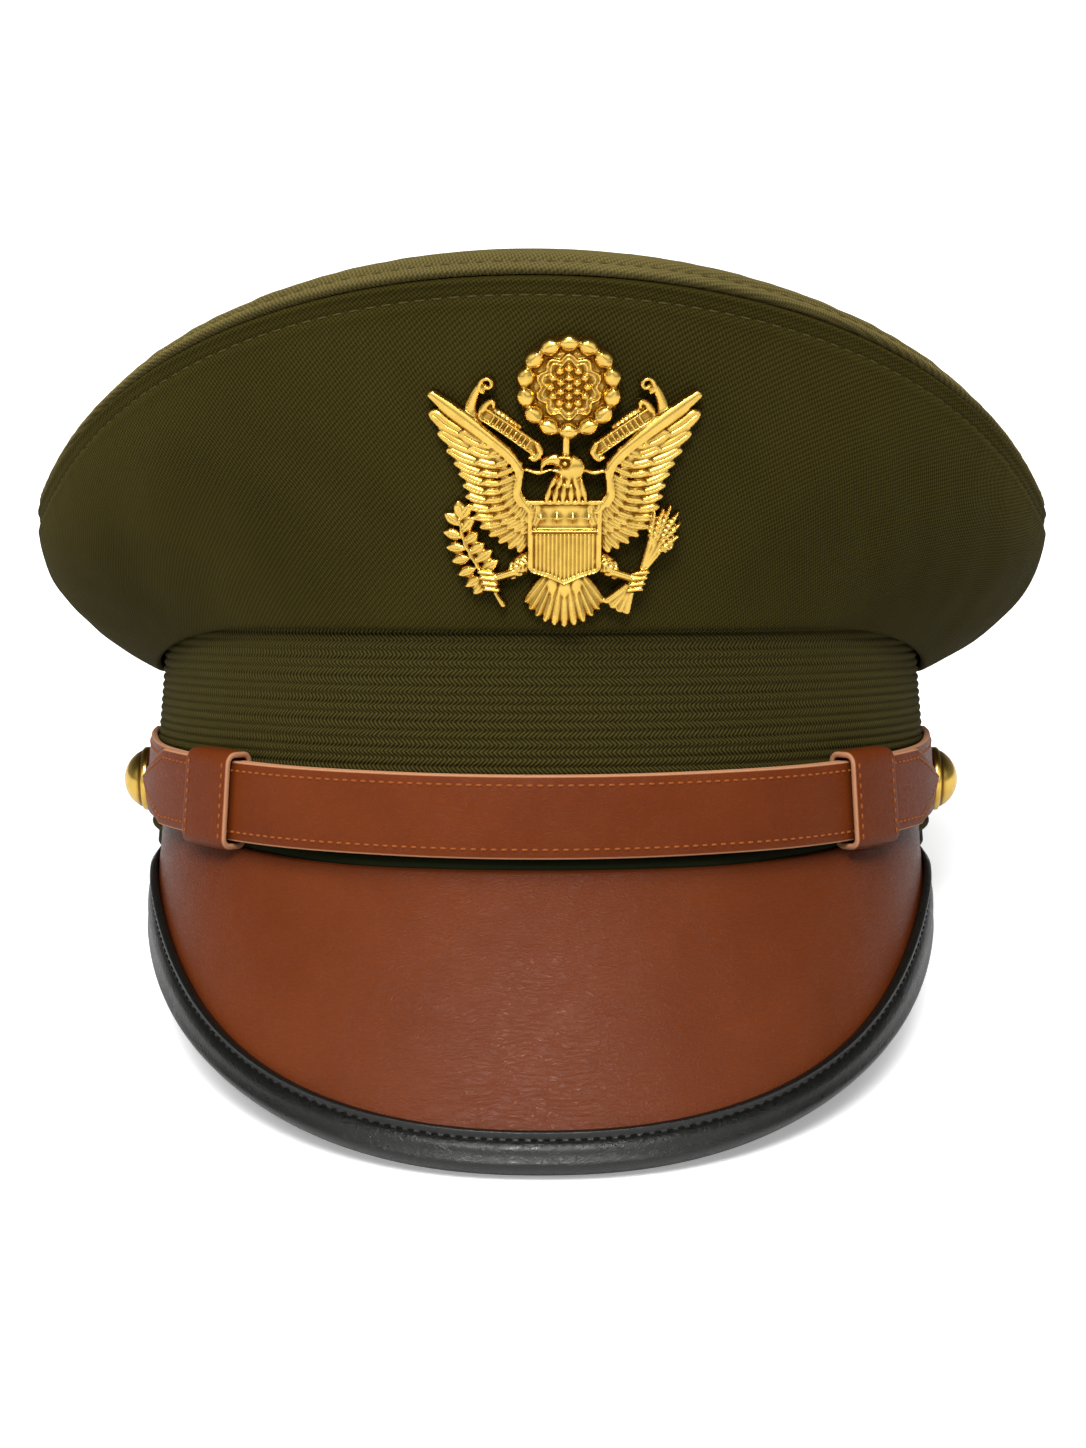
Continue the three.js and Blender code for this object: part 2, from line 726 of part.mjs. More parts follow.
// A leafy sprig in the bird's right foot, and a sheaf in its left.
function sprigPieces() {
  const stem = [new THREE.Vector2(-11.6, -22.6), new THREE.Vector2(-16.6, -15), new THREE.Vector2(-20.8, -4.6)];
  const leaves = range(4).flatMap((i) => {
    const on = stem[1].clone().lerp(stem[2], i / 3.6);
    return [-48, 42].map((swing) => blade(on, polar(6, swing - 20, on.x, on.y), 2.7, 1.9));
  });
  return [
    blade(stem[1], stem[0], 1.6, 1.8),
    blade(stem[1], stem[2], 1.9, 1.9),
    ...leaves,
  ];
}

function sheafPieces() {
  const grip = new THREE.Vector2(13.6, -17.2);
  const stalks = [-10, 10].map((swing) => blade(grip, polar(7.2, 205 + swing, grip.x, grip.y), 2.8, 1.9));
  const ears = [-16, 0, 16].map((swing) => blade(grip, polar(13, 30 + swing, grip.x, grip.y), 3.6, 2.1));
  return [...stalks, ...ears];
}

function legPieces(side) {
  const hip = new THREE.Vector2(side * 5.6, -14.4);
  const foot = new THREE.Vector2(side * 15.2, -17.8);
  const fist = new THREE.CylinderGeometry(2, 2.3, 2.7, 8).rotateX(Math.PI / 2);
  return [blade(hip, foot, 4.2, 2.3), fist.translate(side * 14.6, -17.4, 1.35)];
}

// How the crown's front face runs at the badge, in the middle of the cap.
function crownFrontAt(height) {
  const curve = crownCurve(0);
  const samples = curve.getPoints(60);
  const i = samples.findIndex((p) => p.z >= height);
  return { point: samples[i], slope: samples[i + 4].clone().sub(samples[i - 4]).normalize() };
}

// Lays a flat drawn shape on the crown: v climbs its front face, u goes round it and w leaves it.
const badgeSeat = crownFrontAt(badgeHeight);
const badgeBend = 118; // radius to which the badge is curved
function onCrown(geometry) {
  const { point, slope } = badgeSeat;
  const out = new THREE.Vector3(0, -slope.z, slope.y);
  const { position } = geometry.attributes;
  for (const i of range(position.count)) {
    const angle = position.getX(i) / badgeBend;
    const radius = badgeBend + position.getZ(i);
    const p = point
      .clone()
      .addScaledVector(slope, position.getY(i))
      .addScaledVector(out, radius * Math.cos(angle) - badgeBend + badgeGap);
    position.setXYZ(i, p.x + radius * Math.sin(angle) + badgeAside, p.y, p.z);
  }
  geometry.computeVertexNormals();
  return geometry;
}

const postLength = badgeGap + crownWall + clearance + nutThickness + 1.5;

function badgePost(radius, from, to) {
  return rod(flatPoint(0, 0, from), flatPoint(0, 0, to), radius, 10);
}

function badgeGeometry() {
  const flat = joined([
    badgePost(shankRadius, -postLength, 1),
    ...shieldPieces(),
    ...headPieces(),
    ...tailPieces(),
    ...rosettePieces(),
    ...sprigPieces(),
    ...sheafPieces(),
    ...[-1, 1].flatMap((side) => [...wingPieces(side), ...ribbonPieces(side), ...legPieces(side)]),
  ]);
  return onCrown(flat);
}

function badgeNutGeometry() {
  const back = -(badgeGap + crownWall + clearance + 0.3);
  const disc = rod(flatPoint(0, 0, back - nutThickness), flatPoint(0, 0, back), nutRadius, 16);
  return onCrown(without(closed(disc), badgePost(shankRadius + clearance, -20, 20)));
}

// How the cap stands
// Tilting the cap back lifts its front. A point's height is then this much.
const tiltedHeight = (tilt) => (p) => p.z * Math.cos(tilt) - p.y * Math.sin(tilt);

function lowest(geometry, tilt) {
  const { position } = geometry.attributes;
  const points = range(position.count).map((i) => new THREE.Vector3().fromBufferAttribute(position, i));
  return Math.min(...points.map(tiltedHeight(tilt)));
}

// The tilt at which the peak's binding and the back of the welt come down together.
function restingTilt(front, back) {
  let [low, high] = [0, rad(30)];
  for (let i = 0; i < 40; i++) {
    const tilt = (low + high) / 2;
    if (lowest(front, tilt) < lowest(back, tilt)) low = tilt;
    else high = tilt;
  }
  return (low + high) / 2;
}

// The assembly
function piece(name, geometry, finish) {
  const mesh = new THREE.Mesh(geometry, finish);
  mesh.name = name;
  return mesh;
}

const binding = bindingGeometry();
const welt = weltGeometry();
const tilt = restingTilt(binding, welt);
const floorHeight = lowest(welt, tilt) + restSink;

// Everything under the floor, in the cap's own frame.
function underFloor() {
  const depth = 20;
  return new THREE.BoxGeometry(400, 500, depth)
    .translate(0, 0, floorHeight - depth / 2)
    .rotateX(tilt);
}

const holes = [shankHole(-1), shankHole(1)];
const postHole = onCrown(closed(badgePost(shankRadius + clearance, -20, 20)));

const cap = new THREE.Group();
cap.add(
  piece("band", without(bandGeometry(), ...holes), bandCloth),
  piece("braid_band", without(braidGeometry(), ...holes), braidCloth),
  piece("band_welt", without(welt, underFloor()), bandCloth),
  piece("crown_side", without(crownSideGeometry(), postHole), oliveCloth),
  piece("crown_top", crownTopGeometry(), oliveCloth),
  piece("peak", peakGeometry(), russetLeather),
  piece("peak_binding", without(binding, underFloor()), blackLeather),
  piece("chin_strap", chinStrapGeometry(), russetLeather),
  piece("under_strap", without(underStrapGeometry(), ...holes), russetLeather),
  piece("badge", badgeGeometry(), giltBrass),
  piece("badge_nut", badgeNutGeometry(), giltBrass),
);

for (const [side, word] of [[-1, "left"], [1, "right"]]) {
  cap.add(piece(`keeper_${word}`, keeperGeometry(side), russetLeather));
  const button = piece(`button_${word}`, buttonGeometry(), giltBrass);
  const { face, axis } = buttonFrame(side);
  button.position.copy(face);
  button.quaternion.setFromUnitVectors(new THREE.Vector3(0, 1, 0), axis);
  cap.add(button);
}

// The cap is tilted back onto its two resting places, and its box is centred over the origin.
cap.rotation.x = -tilt;
cap.position.z = -floorHeight;
cap.updateMatrixWorld(true);
const box = new THREE.Box3().setFromObject(cap, true);
cap.position.y = -(box.min.y + box.max.y) / 2;

const whole = new THREE.Group();
whole.add(cap);

export default whole;
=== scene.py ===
"""A peaked service cap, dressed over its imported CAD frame.

Every form is worked out in the cap's own frame, in millimetres. Its origin is the middle of the
band's lower rim, X points to the right as seen from the front, -Y to the front, and Z up along the
band. CapFrame turns and lifts that frame to the rest pose, with the cap tipped back on its peak.
"""

from __future__ import annotations

import json
import logging
import math
from dataclasses import dataclass, field
from enum import Enum
from typing import Any, Sequence

import bpy
import numpy as np
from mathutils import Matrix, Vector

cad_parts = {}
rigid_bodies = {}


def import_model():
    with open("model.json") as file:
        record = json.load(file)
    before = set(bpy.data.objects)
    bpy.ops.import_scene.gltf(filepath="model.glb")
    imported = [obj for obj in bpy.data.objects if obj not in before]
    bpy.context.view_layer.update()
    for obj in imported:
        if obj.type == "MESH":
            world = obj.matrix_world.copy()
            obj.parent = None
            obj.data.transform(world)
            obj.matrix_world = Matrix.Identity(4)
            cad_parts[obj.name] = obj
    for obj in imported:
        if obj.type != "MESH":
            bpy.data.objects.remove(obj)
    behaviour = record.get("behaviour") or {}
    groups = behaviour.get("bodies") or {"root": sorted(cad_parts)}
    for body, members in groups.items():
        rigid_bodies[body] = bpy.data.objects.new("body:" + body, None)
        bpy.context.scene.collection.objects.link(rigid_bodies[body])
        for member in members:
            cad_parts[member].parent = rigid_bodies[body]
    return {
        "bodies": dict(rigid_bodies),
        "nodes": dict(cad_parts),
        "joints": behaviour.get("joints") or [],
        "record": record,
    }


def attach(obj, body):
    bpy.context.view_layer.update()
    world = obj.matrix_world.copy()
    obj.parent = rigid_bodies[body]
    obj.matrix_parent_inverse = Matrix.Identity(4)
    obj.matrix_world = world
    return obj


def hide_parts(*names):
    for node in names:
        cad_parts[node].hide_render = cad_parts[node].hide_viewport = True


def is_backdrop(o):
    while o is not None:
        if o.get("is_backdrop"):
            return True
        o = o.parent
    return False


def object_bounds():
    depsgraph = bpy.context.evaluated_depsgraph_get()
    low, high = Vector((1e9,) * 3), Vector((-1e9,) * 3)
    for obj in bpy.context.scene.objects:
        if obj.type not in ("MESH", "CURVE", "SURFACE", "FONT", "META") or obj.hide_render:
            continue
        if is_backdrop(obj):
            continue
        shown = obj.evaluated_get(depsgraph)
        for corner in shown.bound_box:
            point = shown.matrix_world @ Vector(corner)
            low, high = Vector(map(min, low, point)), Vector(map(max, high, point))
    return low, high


log = logging.getLogger("service_cap")
Array = np.ndarray
BODY = "root"
MILLIMETRE = 0.001
NO_FOLD = 1e6


def lerp(start: Any, end: Any, share: Any) -> Any:
    """Return start + (end - start) * share."""
    return start + (end - start) * share


def smoothstep(value: Any, low: float, high: float) -> Any:
    """Return 3t^2 - 2t^3, where t is value's share of the way from low to high, held to 0..1."""
    share = np.clip((value - low) / (high - low), 0.0, 1.0)
    return share * share * (3 - 2 * share)


def bell(value: Any, centre: float, width: float) -> Any:
    """Return exp(-((value - centre) / width)^2)."""
    return np.exp(-(((value - centre) / width) ** 2))


def unit(vectors: Array) -> Array:
    """Return the vectors divided by their lengths."""
    return vectors / np.maximum(np.linalg.norm(vectors, axis=-1, keepdims=True), 1e-12)


def ripple(position: Any, length: float, seed: float) -> Any:
    """Return an uneven wave: the mean of three sines, of length, 0.61 length and 0.37 length.

    Args:
        position: where on the surface, in millimetres.
        length: the longest of the three wavelengths, in millimetres.
        seed: a number that shifts the three sines against each other.

    Returns:
        The wave's height, between -1 and 1.
    """
    waves = [
        np.sin(2 * np.pi * position / (length * part) + seed * turn)
        for part, turn in ((1.0, 1.0), (0.61, 2.3), (0.37, 4.1))
    ]
    return sum(waves) / 3


def run_lengths(points: Array, closed: bool = False) -> Array:
    """Measure how far along its first axis each point of a grid or line lies.

    Args:
        points: an array whose first axis is the run and whose last axis is x, y, z.
        closed: whether to add the length of the step back to the first point.

    Returns:
        The running lengths, which start at 0.
    """
    if closed:
        points = np.concatenate([points, points[:1]])
    steps = np.linalg.norm(np.diff(points, axis=0), axis=-1)
    return np.concatenate([np.zeros_like(steps[:1]), np.cumsum(steps, axis=0)])


def walk(courses: Array, distances: Array) -> Array:
    """Find the points that lie at given distances along each course.

    Args:
        courses: polylines as an array of (courses, points, 3).
        distances: distances from each course's start, as (courses, stops).

    Returns:
        The points, as (courses, stops, 3), straight between the course's own points.
    """
    runs = run_lengths(np.swapaxes(courses, 0, 1)).T
    place = (runs[:, :, None] < distances[:, None, :]).sum(axis=1)
    after = np.clip(place, 1, courses.shape[1] - 1)
    low = np.take_along_axis(runs, after - 1, 1)
    high = np.take_along_axis(runs, after, 1)
    share = ((distances - low) / np.maximum(high - low, 1e-9))[..., None]
    rows = np.arange(len(courses))[:, None]
    return lerp(courses[rows, after - 1], courses[rows, after], share)


def grid_normals(points: Array, close_u: bool = False, close_v: bool = False) -> Array:
    """Return the unit cross product of a grid's two central differences, u with v.

    Args:
        points: the grid, as (u, v, 3).
        close_u: whether the first axis runs round to its start.
        close_v: whether the second axis runs round to its start.

    Returns:
        The normals, as (u, v, 3).
    """
    if close_u:
        ahead = np.roll(points, -1, 0) - np.roll(points, 1, 0)
    else:
        ahead = np.gradient(points, axis=0)
    if close_v:
        across = np.roll(points, -1, 1) - np.roll(points, 1, 1)
    else:
        across = np.gradient(points, axis=1)
    return unit(np.cross(ahead, across))


def around(count: int) -> Array:
    """Return that many even bearings from the back round to the back, in radians."""
    return np.linspace(-np.pi, np.pi, count, endpoint=False)


@dataclass
class Shell:
    """A surface ready for a mesh: points in millimetres, its faces, their UVs and its masks."""

    points: Array
    faces: list[Array]
    uvs: list[Array]
    masks: dict[str, Array] = field(default_factory=dict)

    @staticmethod
    def joined(shells: Sequence["Shell"]) -> "Shell":
        """Put several shells in one, each closed on its own.

        Args:
            shells: the shells to join. A mask that a shell lacks is 0 on it.

        Returns:
            One shell with all their points and faces.
        """
        counts = [len(shell.points) for shell in shells]
        starts = np.cumsum([0, *counts[:-1]])
        names = sorted({name for shell in shells for name in shell.masks})
        masks = {
            name: np.concatenate(
                [s.masks.get(name, np.zeros(count)) for s, count in zip(shells, counts)]
            )
            for name in names
        }
        faces = [f + start for shell, start in zip(shells, starts) for f in shell.faces]
        uvs = [uv for shell in shells for uv in shell.uvs]
        return Shell(np.concatenate([s.points for s in shells]), faces, uvs, masks)


def grid_shell(
    points: Array,
    uv: Array,
    close_u: bool = False,
    close_v: bool = False,
    poles: tuple[bool, bool] = (False, False),
    flip: bool = False,
    masks: dict[str, Array] | None = None,
) -> Shell:
    """Turn a grid of points into a shell of quads, with triangles round its poles.

    A face runs (u, v), (u + 1, v), (u + 1, v + 1), (u, v + 1), so it faces along du x dv.

    Args:
        points: the grid, as (u, v, 3), in millimetres.
        uv: UVs in millimetres, as (u, v, 2), with one more row or column where the grid closes.
        close_u: whether the first axis closes on its start.
        close_v: whether the second axis closes on its start.
        poles: whether the first and the last column are each a single point.
        flip: whether to turn the faces round.
        masks: values for each point of the grid, by name.

    Returns:
        The shell, with points that no face uses left out.
    """
    rows, columns = points.shape[:2]
    index = np.arange(rows * columns).reshape(rows, columns)
    if poles[0]:
        index[:, 0] = index[0, 0]
    if poles[1]:
        index[:, -1] = index[0, -1]
    if close_u:
        index = np.concatenate([index, index[:1]])
    if close_v:
        index = np.concatenate([index, index[:, :1]], axis=1)

    def corners(values: Array) -> Array:
        """Return the four corner values of every face."""
        four = [values[:-1, :-1], values[1:, :-1], values[1:, 1:], values[:-1, 1:]]
        return np.stack(four, axis=2)

    quads, quad_uv = corners(index), corners(uv)
    first, last = int(poles[0]), quads.shape[1] - int(poles[1])
    faces = [quads[:, first:last].reshape(-1, 4)]
    uvs = [quad_uv[:, first:last].reshape(-1, 4, 2)]
    if poles[0]:
        faces.append(quads[:, 0][:, [0, 2, 3]])
        uvs.append(quad_uv[:, 0][:, [0, 2, 3]])
    if poles[1]:
        faces.append(quads[:, -1][:, [0, 1, 2]])
        uvs.append(quad_uv[:, -1][:, [0, 1, 2]])
    if flip:
        faces = [f[:, ::-1] for f in faces]
        uvs = [t[:, ::-1] for t in uvs]
    used, renumbered = np.unique(np.concatenate([f.ravel() for f in faces]), return_inverse=True)
    ends = np.cumsum([f.size for f in faces])[:-1]
    parts = np.split(renumbered.ravel(), ends)
    faces = [part.reshape(f.shape) for part, f in zip(parts, faces)]
    kept = {name: np.asarray(v, float).reshape(-1)[used] for name, v in (masks or {}).items()}
    return Shell(points.reshape(-1, 3)[used], faces, uvs, kept)


def plain_uv(first: Array, second: Array) -> Array:
    """Return a UV grid from two coordinate arrays that broadcast against each other."""
    return np.stack(np.broadcast_arrays(first, second), axis=-1)


@dataclass(frozen=True)
class Sewing:
    """A row of stitches: its pitch, and a stitch's length, width, sunk ends and lift."""

    pitch: float
    length: float
    width: float
    sink: float
    lift: float


def capsules(centres: Array, along: Array, normal: Array, sewing: Sewing) -> Shell:
    """Make one short rounded stitch at each place.

    With x from -1 to 1 along a stitch, its section is a circle of radius width/2 sqrt(1 - x^4),
    and its middle line bows down by sink x^2 at its ends, where the thread goes into the cloth.

    Args:
        centres: the stitches' middles, as (count, 3).
        along: unit directions of the thread, as (count, 3).
        normal: unit directions out of the cloth, as (count, 3).
        sewing: the sizes of a stitch.

    Returns:
        All the stitches as one shell.
    """
    x = np.linspace(-1, 1, 7)[None, :]
    turn = np.linspace(0, 2 * np.pi, 6, endpoint=False)[:, None]
    radius = sewing.width / 2 * np.sqrt(np.clip(1 - x**4, 0, 1))
    height = radius * np.sin(turn) - sewing.sink * x**2
    local = np.stack(np.broadcast_arrays(x * sewing.length / 2, radius * np.cos(turn), height), axis=-1)
    uv = plain_uv(np.linspace(0, 1, 7)[None, :] * sewing.length, np.arange(7)[:, None] * sewing.width / 2)
    one = grid_shell(local, uv, close_u=True, poles=(True, True), flip=True)
    side = unit(np.cross(normal, along))
    axes = np.stack([along, side, normal], axis=1)
    points = centres[:, None, :] + np.einsum("pk,nkc->npc", one.points, axes)
    starts = np.arange(len(centres))[:, None, None] * len(one.points)
    faces = [(f[None] + starts).reshape(-1, f.shape[1]) for f in one.faces]
    uvs = [np.tile(t, (len(centres), 1, 1)) for t in one.uvs]
    return Shell(points.reshape(-1, 3), faces, uvs)


def stitch_line(line: Array, normals: Array, sewing: Sewing, closed: bool = False) -> Shell:
    """Sew an even row of stitches along a line.

    Args:
        line: the line's points, as (points, 3).
        normals: the cloth's normals there.
        sewing: the row's pitch and the sizes of a stitch.
        closed: whether the line runs round to its start.

    Returns:
        The row of stitches as one shell.
    """
    if closed:
        line = np.concatenate([line, line[:1]])
        normals = np.concatenate([normals, normals[:1]])
    runs = run_lengths(line)
    count = max(1, int(round(runs[-1] / sewing.pitch)))
    places = (np.arange(count) + 0.5) * runs[-1] / count

    def read(values: Array, shift: float) -> Array:
        """Return the values at the stitches, moved along the line by the shift."""
        return np.stack([np.interp(places + shift, runs, values[:, k]) for k in range(3)], -1)

    along = unit(read(line, sewing.length / 4) - read(line, -sewing.length / 4))
    up = unit(read(normals, 0))
    up = unit(up - (up * along).sum(-1, keepdims=True) * along)
    return capsules(read(line, 0) + up * sewing.lift, along, up, sewing)


@dataclass(frozen=True)
class CapFrame:
    """The cap's own frame at rest: tipped back on the tip of its peak, and lifted."""

    tilt: float
    shift: tuple[float, float, float]

    @classmethod
    def from_record(cls, record: dict[str, Any]) -> "CapFrame":
        """Read the tilt and lift off the mount at the band's rim.

        Args:
            record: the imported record, whose mount band_rim lies at the cap frame's left rim.

        Returns:
            The frame.
        """
        mount = next(m for m in record["mounts"] if m["name"] == "band_rim")
        axis, place = mount["axis"], mount["pos_m"]
        return cls(math.atan2(-axis[1], -axis[2]), (0.0, place[1] * 1000, place[2] * 1000))

    def place(self, points: Array) -> Array:
        """Turn points about X by the tilt, shift them, and give them in metres.

        y' = y cos + z sin + shift, z' = -y sin + z cos + shift.
        """
        cos, sin = math.cos(self.tilt), math.sin(self.tilt)
        x, y, z = points[..., 0], points[..., 1], points[..., 2]
        turned = np.stack([x, y * cos + z * sin, z * cos - y * sin], axis=-1)
        return (turned + np.array(self.shift)) * MILLIMETRE


@dataclass(frozen=True)
class HeadOval:
    """The oval of the head, and the faces of the band and of the braid over it."""

    breadth: float = 174.6
    length: float = 199.0
    height: float = 53.0
    wall: float = 2.5
    draw: float = 4.4
    braid_wall: float = 1.4
    clearance: float = 0.3

    def point(self, bearing: Any, offset: Any, z: Any) -> Array:
        """Return ((breadth/2 + offset) sin b, -(length/2 + offset) cos b, z)."""
        bearing, offset, z = np.broadcast_arrays(bearing, offset, z)
        x = (self.breadth / 2 + offset) * np.sin(bearing)
        return np.stack([x, -(self.length / 2 + offset) * np.cos(bearing), z], axis=-1)

    @staticmethod
    def welt_foot(bearing: Any) -> Any:
        """Return the welt's lower edge: 2.6 mm up in front, rising 4.6 mm from 20 to 70 degrees."""
        angle = np.degrees(np.abs(bearing))
        return 2.6 + 4.6 * smoothstep(angle, 20, 70) * (1 - smoothstep(angle, 80, 120))

    def inside(self, z: Any) -> Any:
        """Return how far the band's inner face stands off the oval, which draws in upwards."""
        return -self.draw * z / self.height

    def face(self, z: Any) -> Any:
        """Return how far the band's outer face stands off the oval."""
        return self.inside(z) + self.wall

    def braid(self, z: Any) -> Any:
        """Return how far the braid's outer face stands off the oval."""
        return self.face(z) + self.clearance + self.braid_wall


class Workroom:
    """Makes pieces out of shells: mesh, material, slot, body and the CAD nodes they stand for."""

    def __init__(self, cap_frame: CapFrame) -> None:
        """Keep the cap's frame, which places every piece."""
        self.cap_frame = cap_frame

    def piece(
        self,
        name: str,
        shell: Shell,
        material: bpy.types.Material,
        replaces: Sequence[str] = (),
    ) -> bpy.types.Object:
        """Put a shell into a mesh object that rides on the cap.

        Args:
            name: the piece's plain name.
            shell: its surface, in the cap's frame.
            material: its finish.
            replaces: the CAD nodes that it stands for.

        Returns:
            The object, at the origin, with its place in its mesh.
        """
        mesh = bpy.data.meshes.new(name)
        loops = np.concatenate([f.ravel() for f in shell.faces]).astype(np.int32)
        totals = np.concatenate([np.full(len(f), f.shape[1]) for f in shell.faces])
        starts = np.concatenate([[0], np.cumsum(totals)[:-1]]).astype(np.int32)
        mesh.vertices.add(len(shell.points))
        mesh.vertices.foreach_set("co", self.cap_frame.place(shell.points).astype(np.float32).ravel())
        mesh.loops.add(len(loops))
        mesh.loops.foreach_set("vertex_index", loops)
        mesh.polygons.add(len(totals))
        mesh.polygons.foreach_set("loop_start", starts)
        mesh.update(calc_edges=True)
        layer = mesh.uv_layers.new(name="UVMap")
        uv = np.concatenate([t.reshape(-1, 2) for t in shell.uvs]).astype(np.float32)
        layer.data.foreach_set("uv", uv.ravel())
        for mask, values in shell.masks.items():
            attribute = mesh.attributes.new(mask, "FLOAT", "POINT")
            attribute.data.foreach_set("value", values.astype(np.float32))
        mesh.polygons.foreach_set("use_smooth", np.ones(len(totals), bool))
        mesh.materials.append(material)
        mesh.update()
        obj = bpy.data.objects.new(name, mesh)
        bpy.context.scene.collection.objects.link(obj)
        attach(obj, BODY)
        if replaces:
            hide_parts(*replaces)
        triangles = int((totals - 2).sum())
        log.info("%s: %d points, %d triangles", name, len(shell.points), triangles)
        return obj


class Tree:
    """A short way to write shader nodes and their links."""

    def __init__(self, tree: bpy.types.NodeTree) -> None:
        """Keep the node tree that the nodes go into."""
        self.tree = tree

    def fill(self, node: bpy.types.Node, inputs: dict[Any, Any]) -> None:
        """Link or set a node's inputs.

        Args:
            node: the node.
            inputs: by socket name or number, a socket to link or a value to set.
        """
        for key, value in inputs.items():
            if isinstance(value, bpy.types.NodeSocket):
                self.tree.links.new(value, node.inputs[key])
            else:
                node.inputs[key].default_value = value

    def add(self, kind: str, inputs: dict[Any, Any] | None = None, **settings: Any) -> bpy.types.Node:
        """Add a node.

        Args:
            kind: the node's type, such as ShaderNodeMath.
            inputs: by socket name or number, either a socket to link or a value to set.
            settings: the node's own properties, which are set before its inputs.

        Returns:
            The node.
        """
        node = self.tree.nodes.new(kind)
        for key, value in settings.items():
            setattr(node, key, value)
        self.fill(node, inputs or {})
        return node

    def math(
        self, operation: str, first: Any, second: Any = 0.0, third: Any = 0.0
    ) -> bpy.types.NodeSocket:
        """Add a Math node and return its output."""
        inputs = {0: first, 1: second, 2: third}
        return self.add("ShaderNodeMath", inputs, operation=operation).outputs[0]

    def vector(self, operation: str, inputs: dict[int, Any]) -> bpy.types.NodeSocket:
        """Add a Vector Math node and return its output."""
        return self.add("ShaderNodeVectorMath", inputs, operation=operation).outputs[0]

    def mix(self, share: Any, first: Any, second: Any) -> bpy.types.NodeSocket:
        """Add a colour Mix node and return its output."""
        return self.add("ShaderNodeMix", {0: share, 6: first, 7: second}, data_type="RGBA").outputs[2]

    def spread(self, value: Any, low: float, high: float, to_low: Any = 0.0, to_high: Any = 1.0) -> Any:
        """Add a clamped Map Range node and return its output."""
        return self.add(
            "ShaderNodeMapRange", {0: value, 1: low, 2: high, 3: to_low, 4: to_high}
        ).outputs[0]

    def clamp(self, value: Any) -> bpy.types.NodeSocket:
        """Add a Clamp node, which holds a value to 0..1, and return its output."""
        return self.add("ShaderNodeClamp", {0: value}).outputs[0]

    def noise(self, vector: Any, scale: Any, detail: float = 2.0, **more: float) -> Any:
        """Add a Noise Texture node and return its outputs, a value and a colour."""
        inputs = {"Vector": vector, "Scale": scale, "Detail": detail, **more}
        return self.add("ShaderNodeTexNoise", inputs).outputs

    def bump(self, height: Any, strength: float, relief: float) -> bpy.types.NodeSocket:
        """Add a Bump node, whose relief is in millimetres, and return its normal."""
        inputs = {"Height": height, "Strength": strength, "Distance": relief * MILLIMETRE}
        return self.add("ShaderNodeBump", inputs).outputs[0]

    def mask(self, name: str) -> bpy.types.NodeSocket:
        """Add an Attribute node for a shell's mask and return its value."""
        return self.add("ShaderNodeAttribute", attribute_name=name).outputs["Fac"]

    def follow(self, coordinates: Coordinates) -> bpy.types.NodeSocket:
        """Add a Texture Coordinate node and return the coordinates that a pattern follows."""
        return self.add("ShaderNodeTexCoord").outputs[coordinates.value]

    def group(self, group: bpy.types.NodeTree, **inputs: Any) -> Any:
        """Add a node group with its inputs and return its outputs."""
        return self.add("ShaderNodeGroup", inputs, node_tree=group).outputs


def new_group(
    name: str, values: dict[str, float], outputs: Sequence[str]
) -> tuple[Tree, Any, bpy.types.Node]:
    """Start a shader node group that takes a Vector and some numbers, and gives numbers.

    Args:
        name: the group's name.
        values: its numbers, each with its first value.
        outputs: the names of what it gives.

    Returns:
        A Tree for the group's nodes, what it is given, by name, and its Group Output node.
    """
    group = bpy.data.node_groups.new(name, "ShaderNodeTree")
    group.interface.new_socket(name="Vector", in_out="INPUT", socket_type="NodeSocketVector")
    for key, value in values.items():
        socket = group.interface.new_socket(name=key, in_out="INPUT", socket_type="NodeSocketFloat")
        socket.default_value = value
    for key in outputs:
        group.interface.new_socket(name=key, in_out="OUTPUT", socket_type="NodeSocketFloat")
    tree = Tree(group)
    return tree, tree.add("NodeGroupInput").outputs, tree.add("NodeGroupOutput")


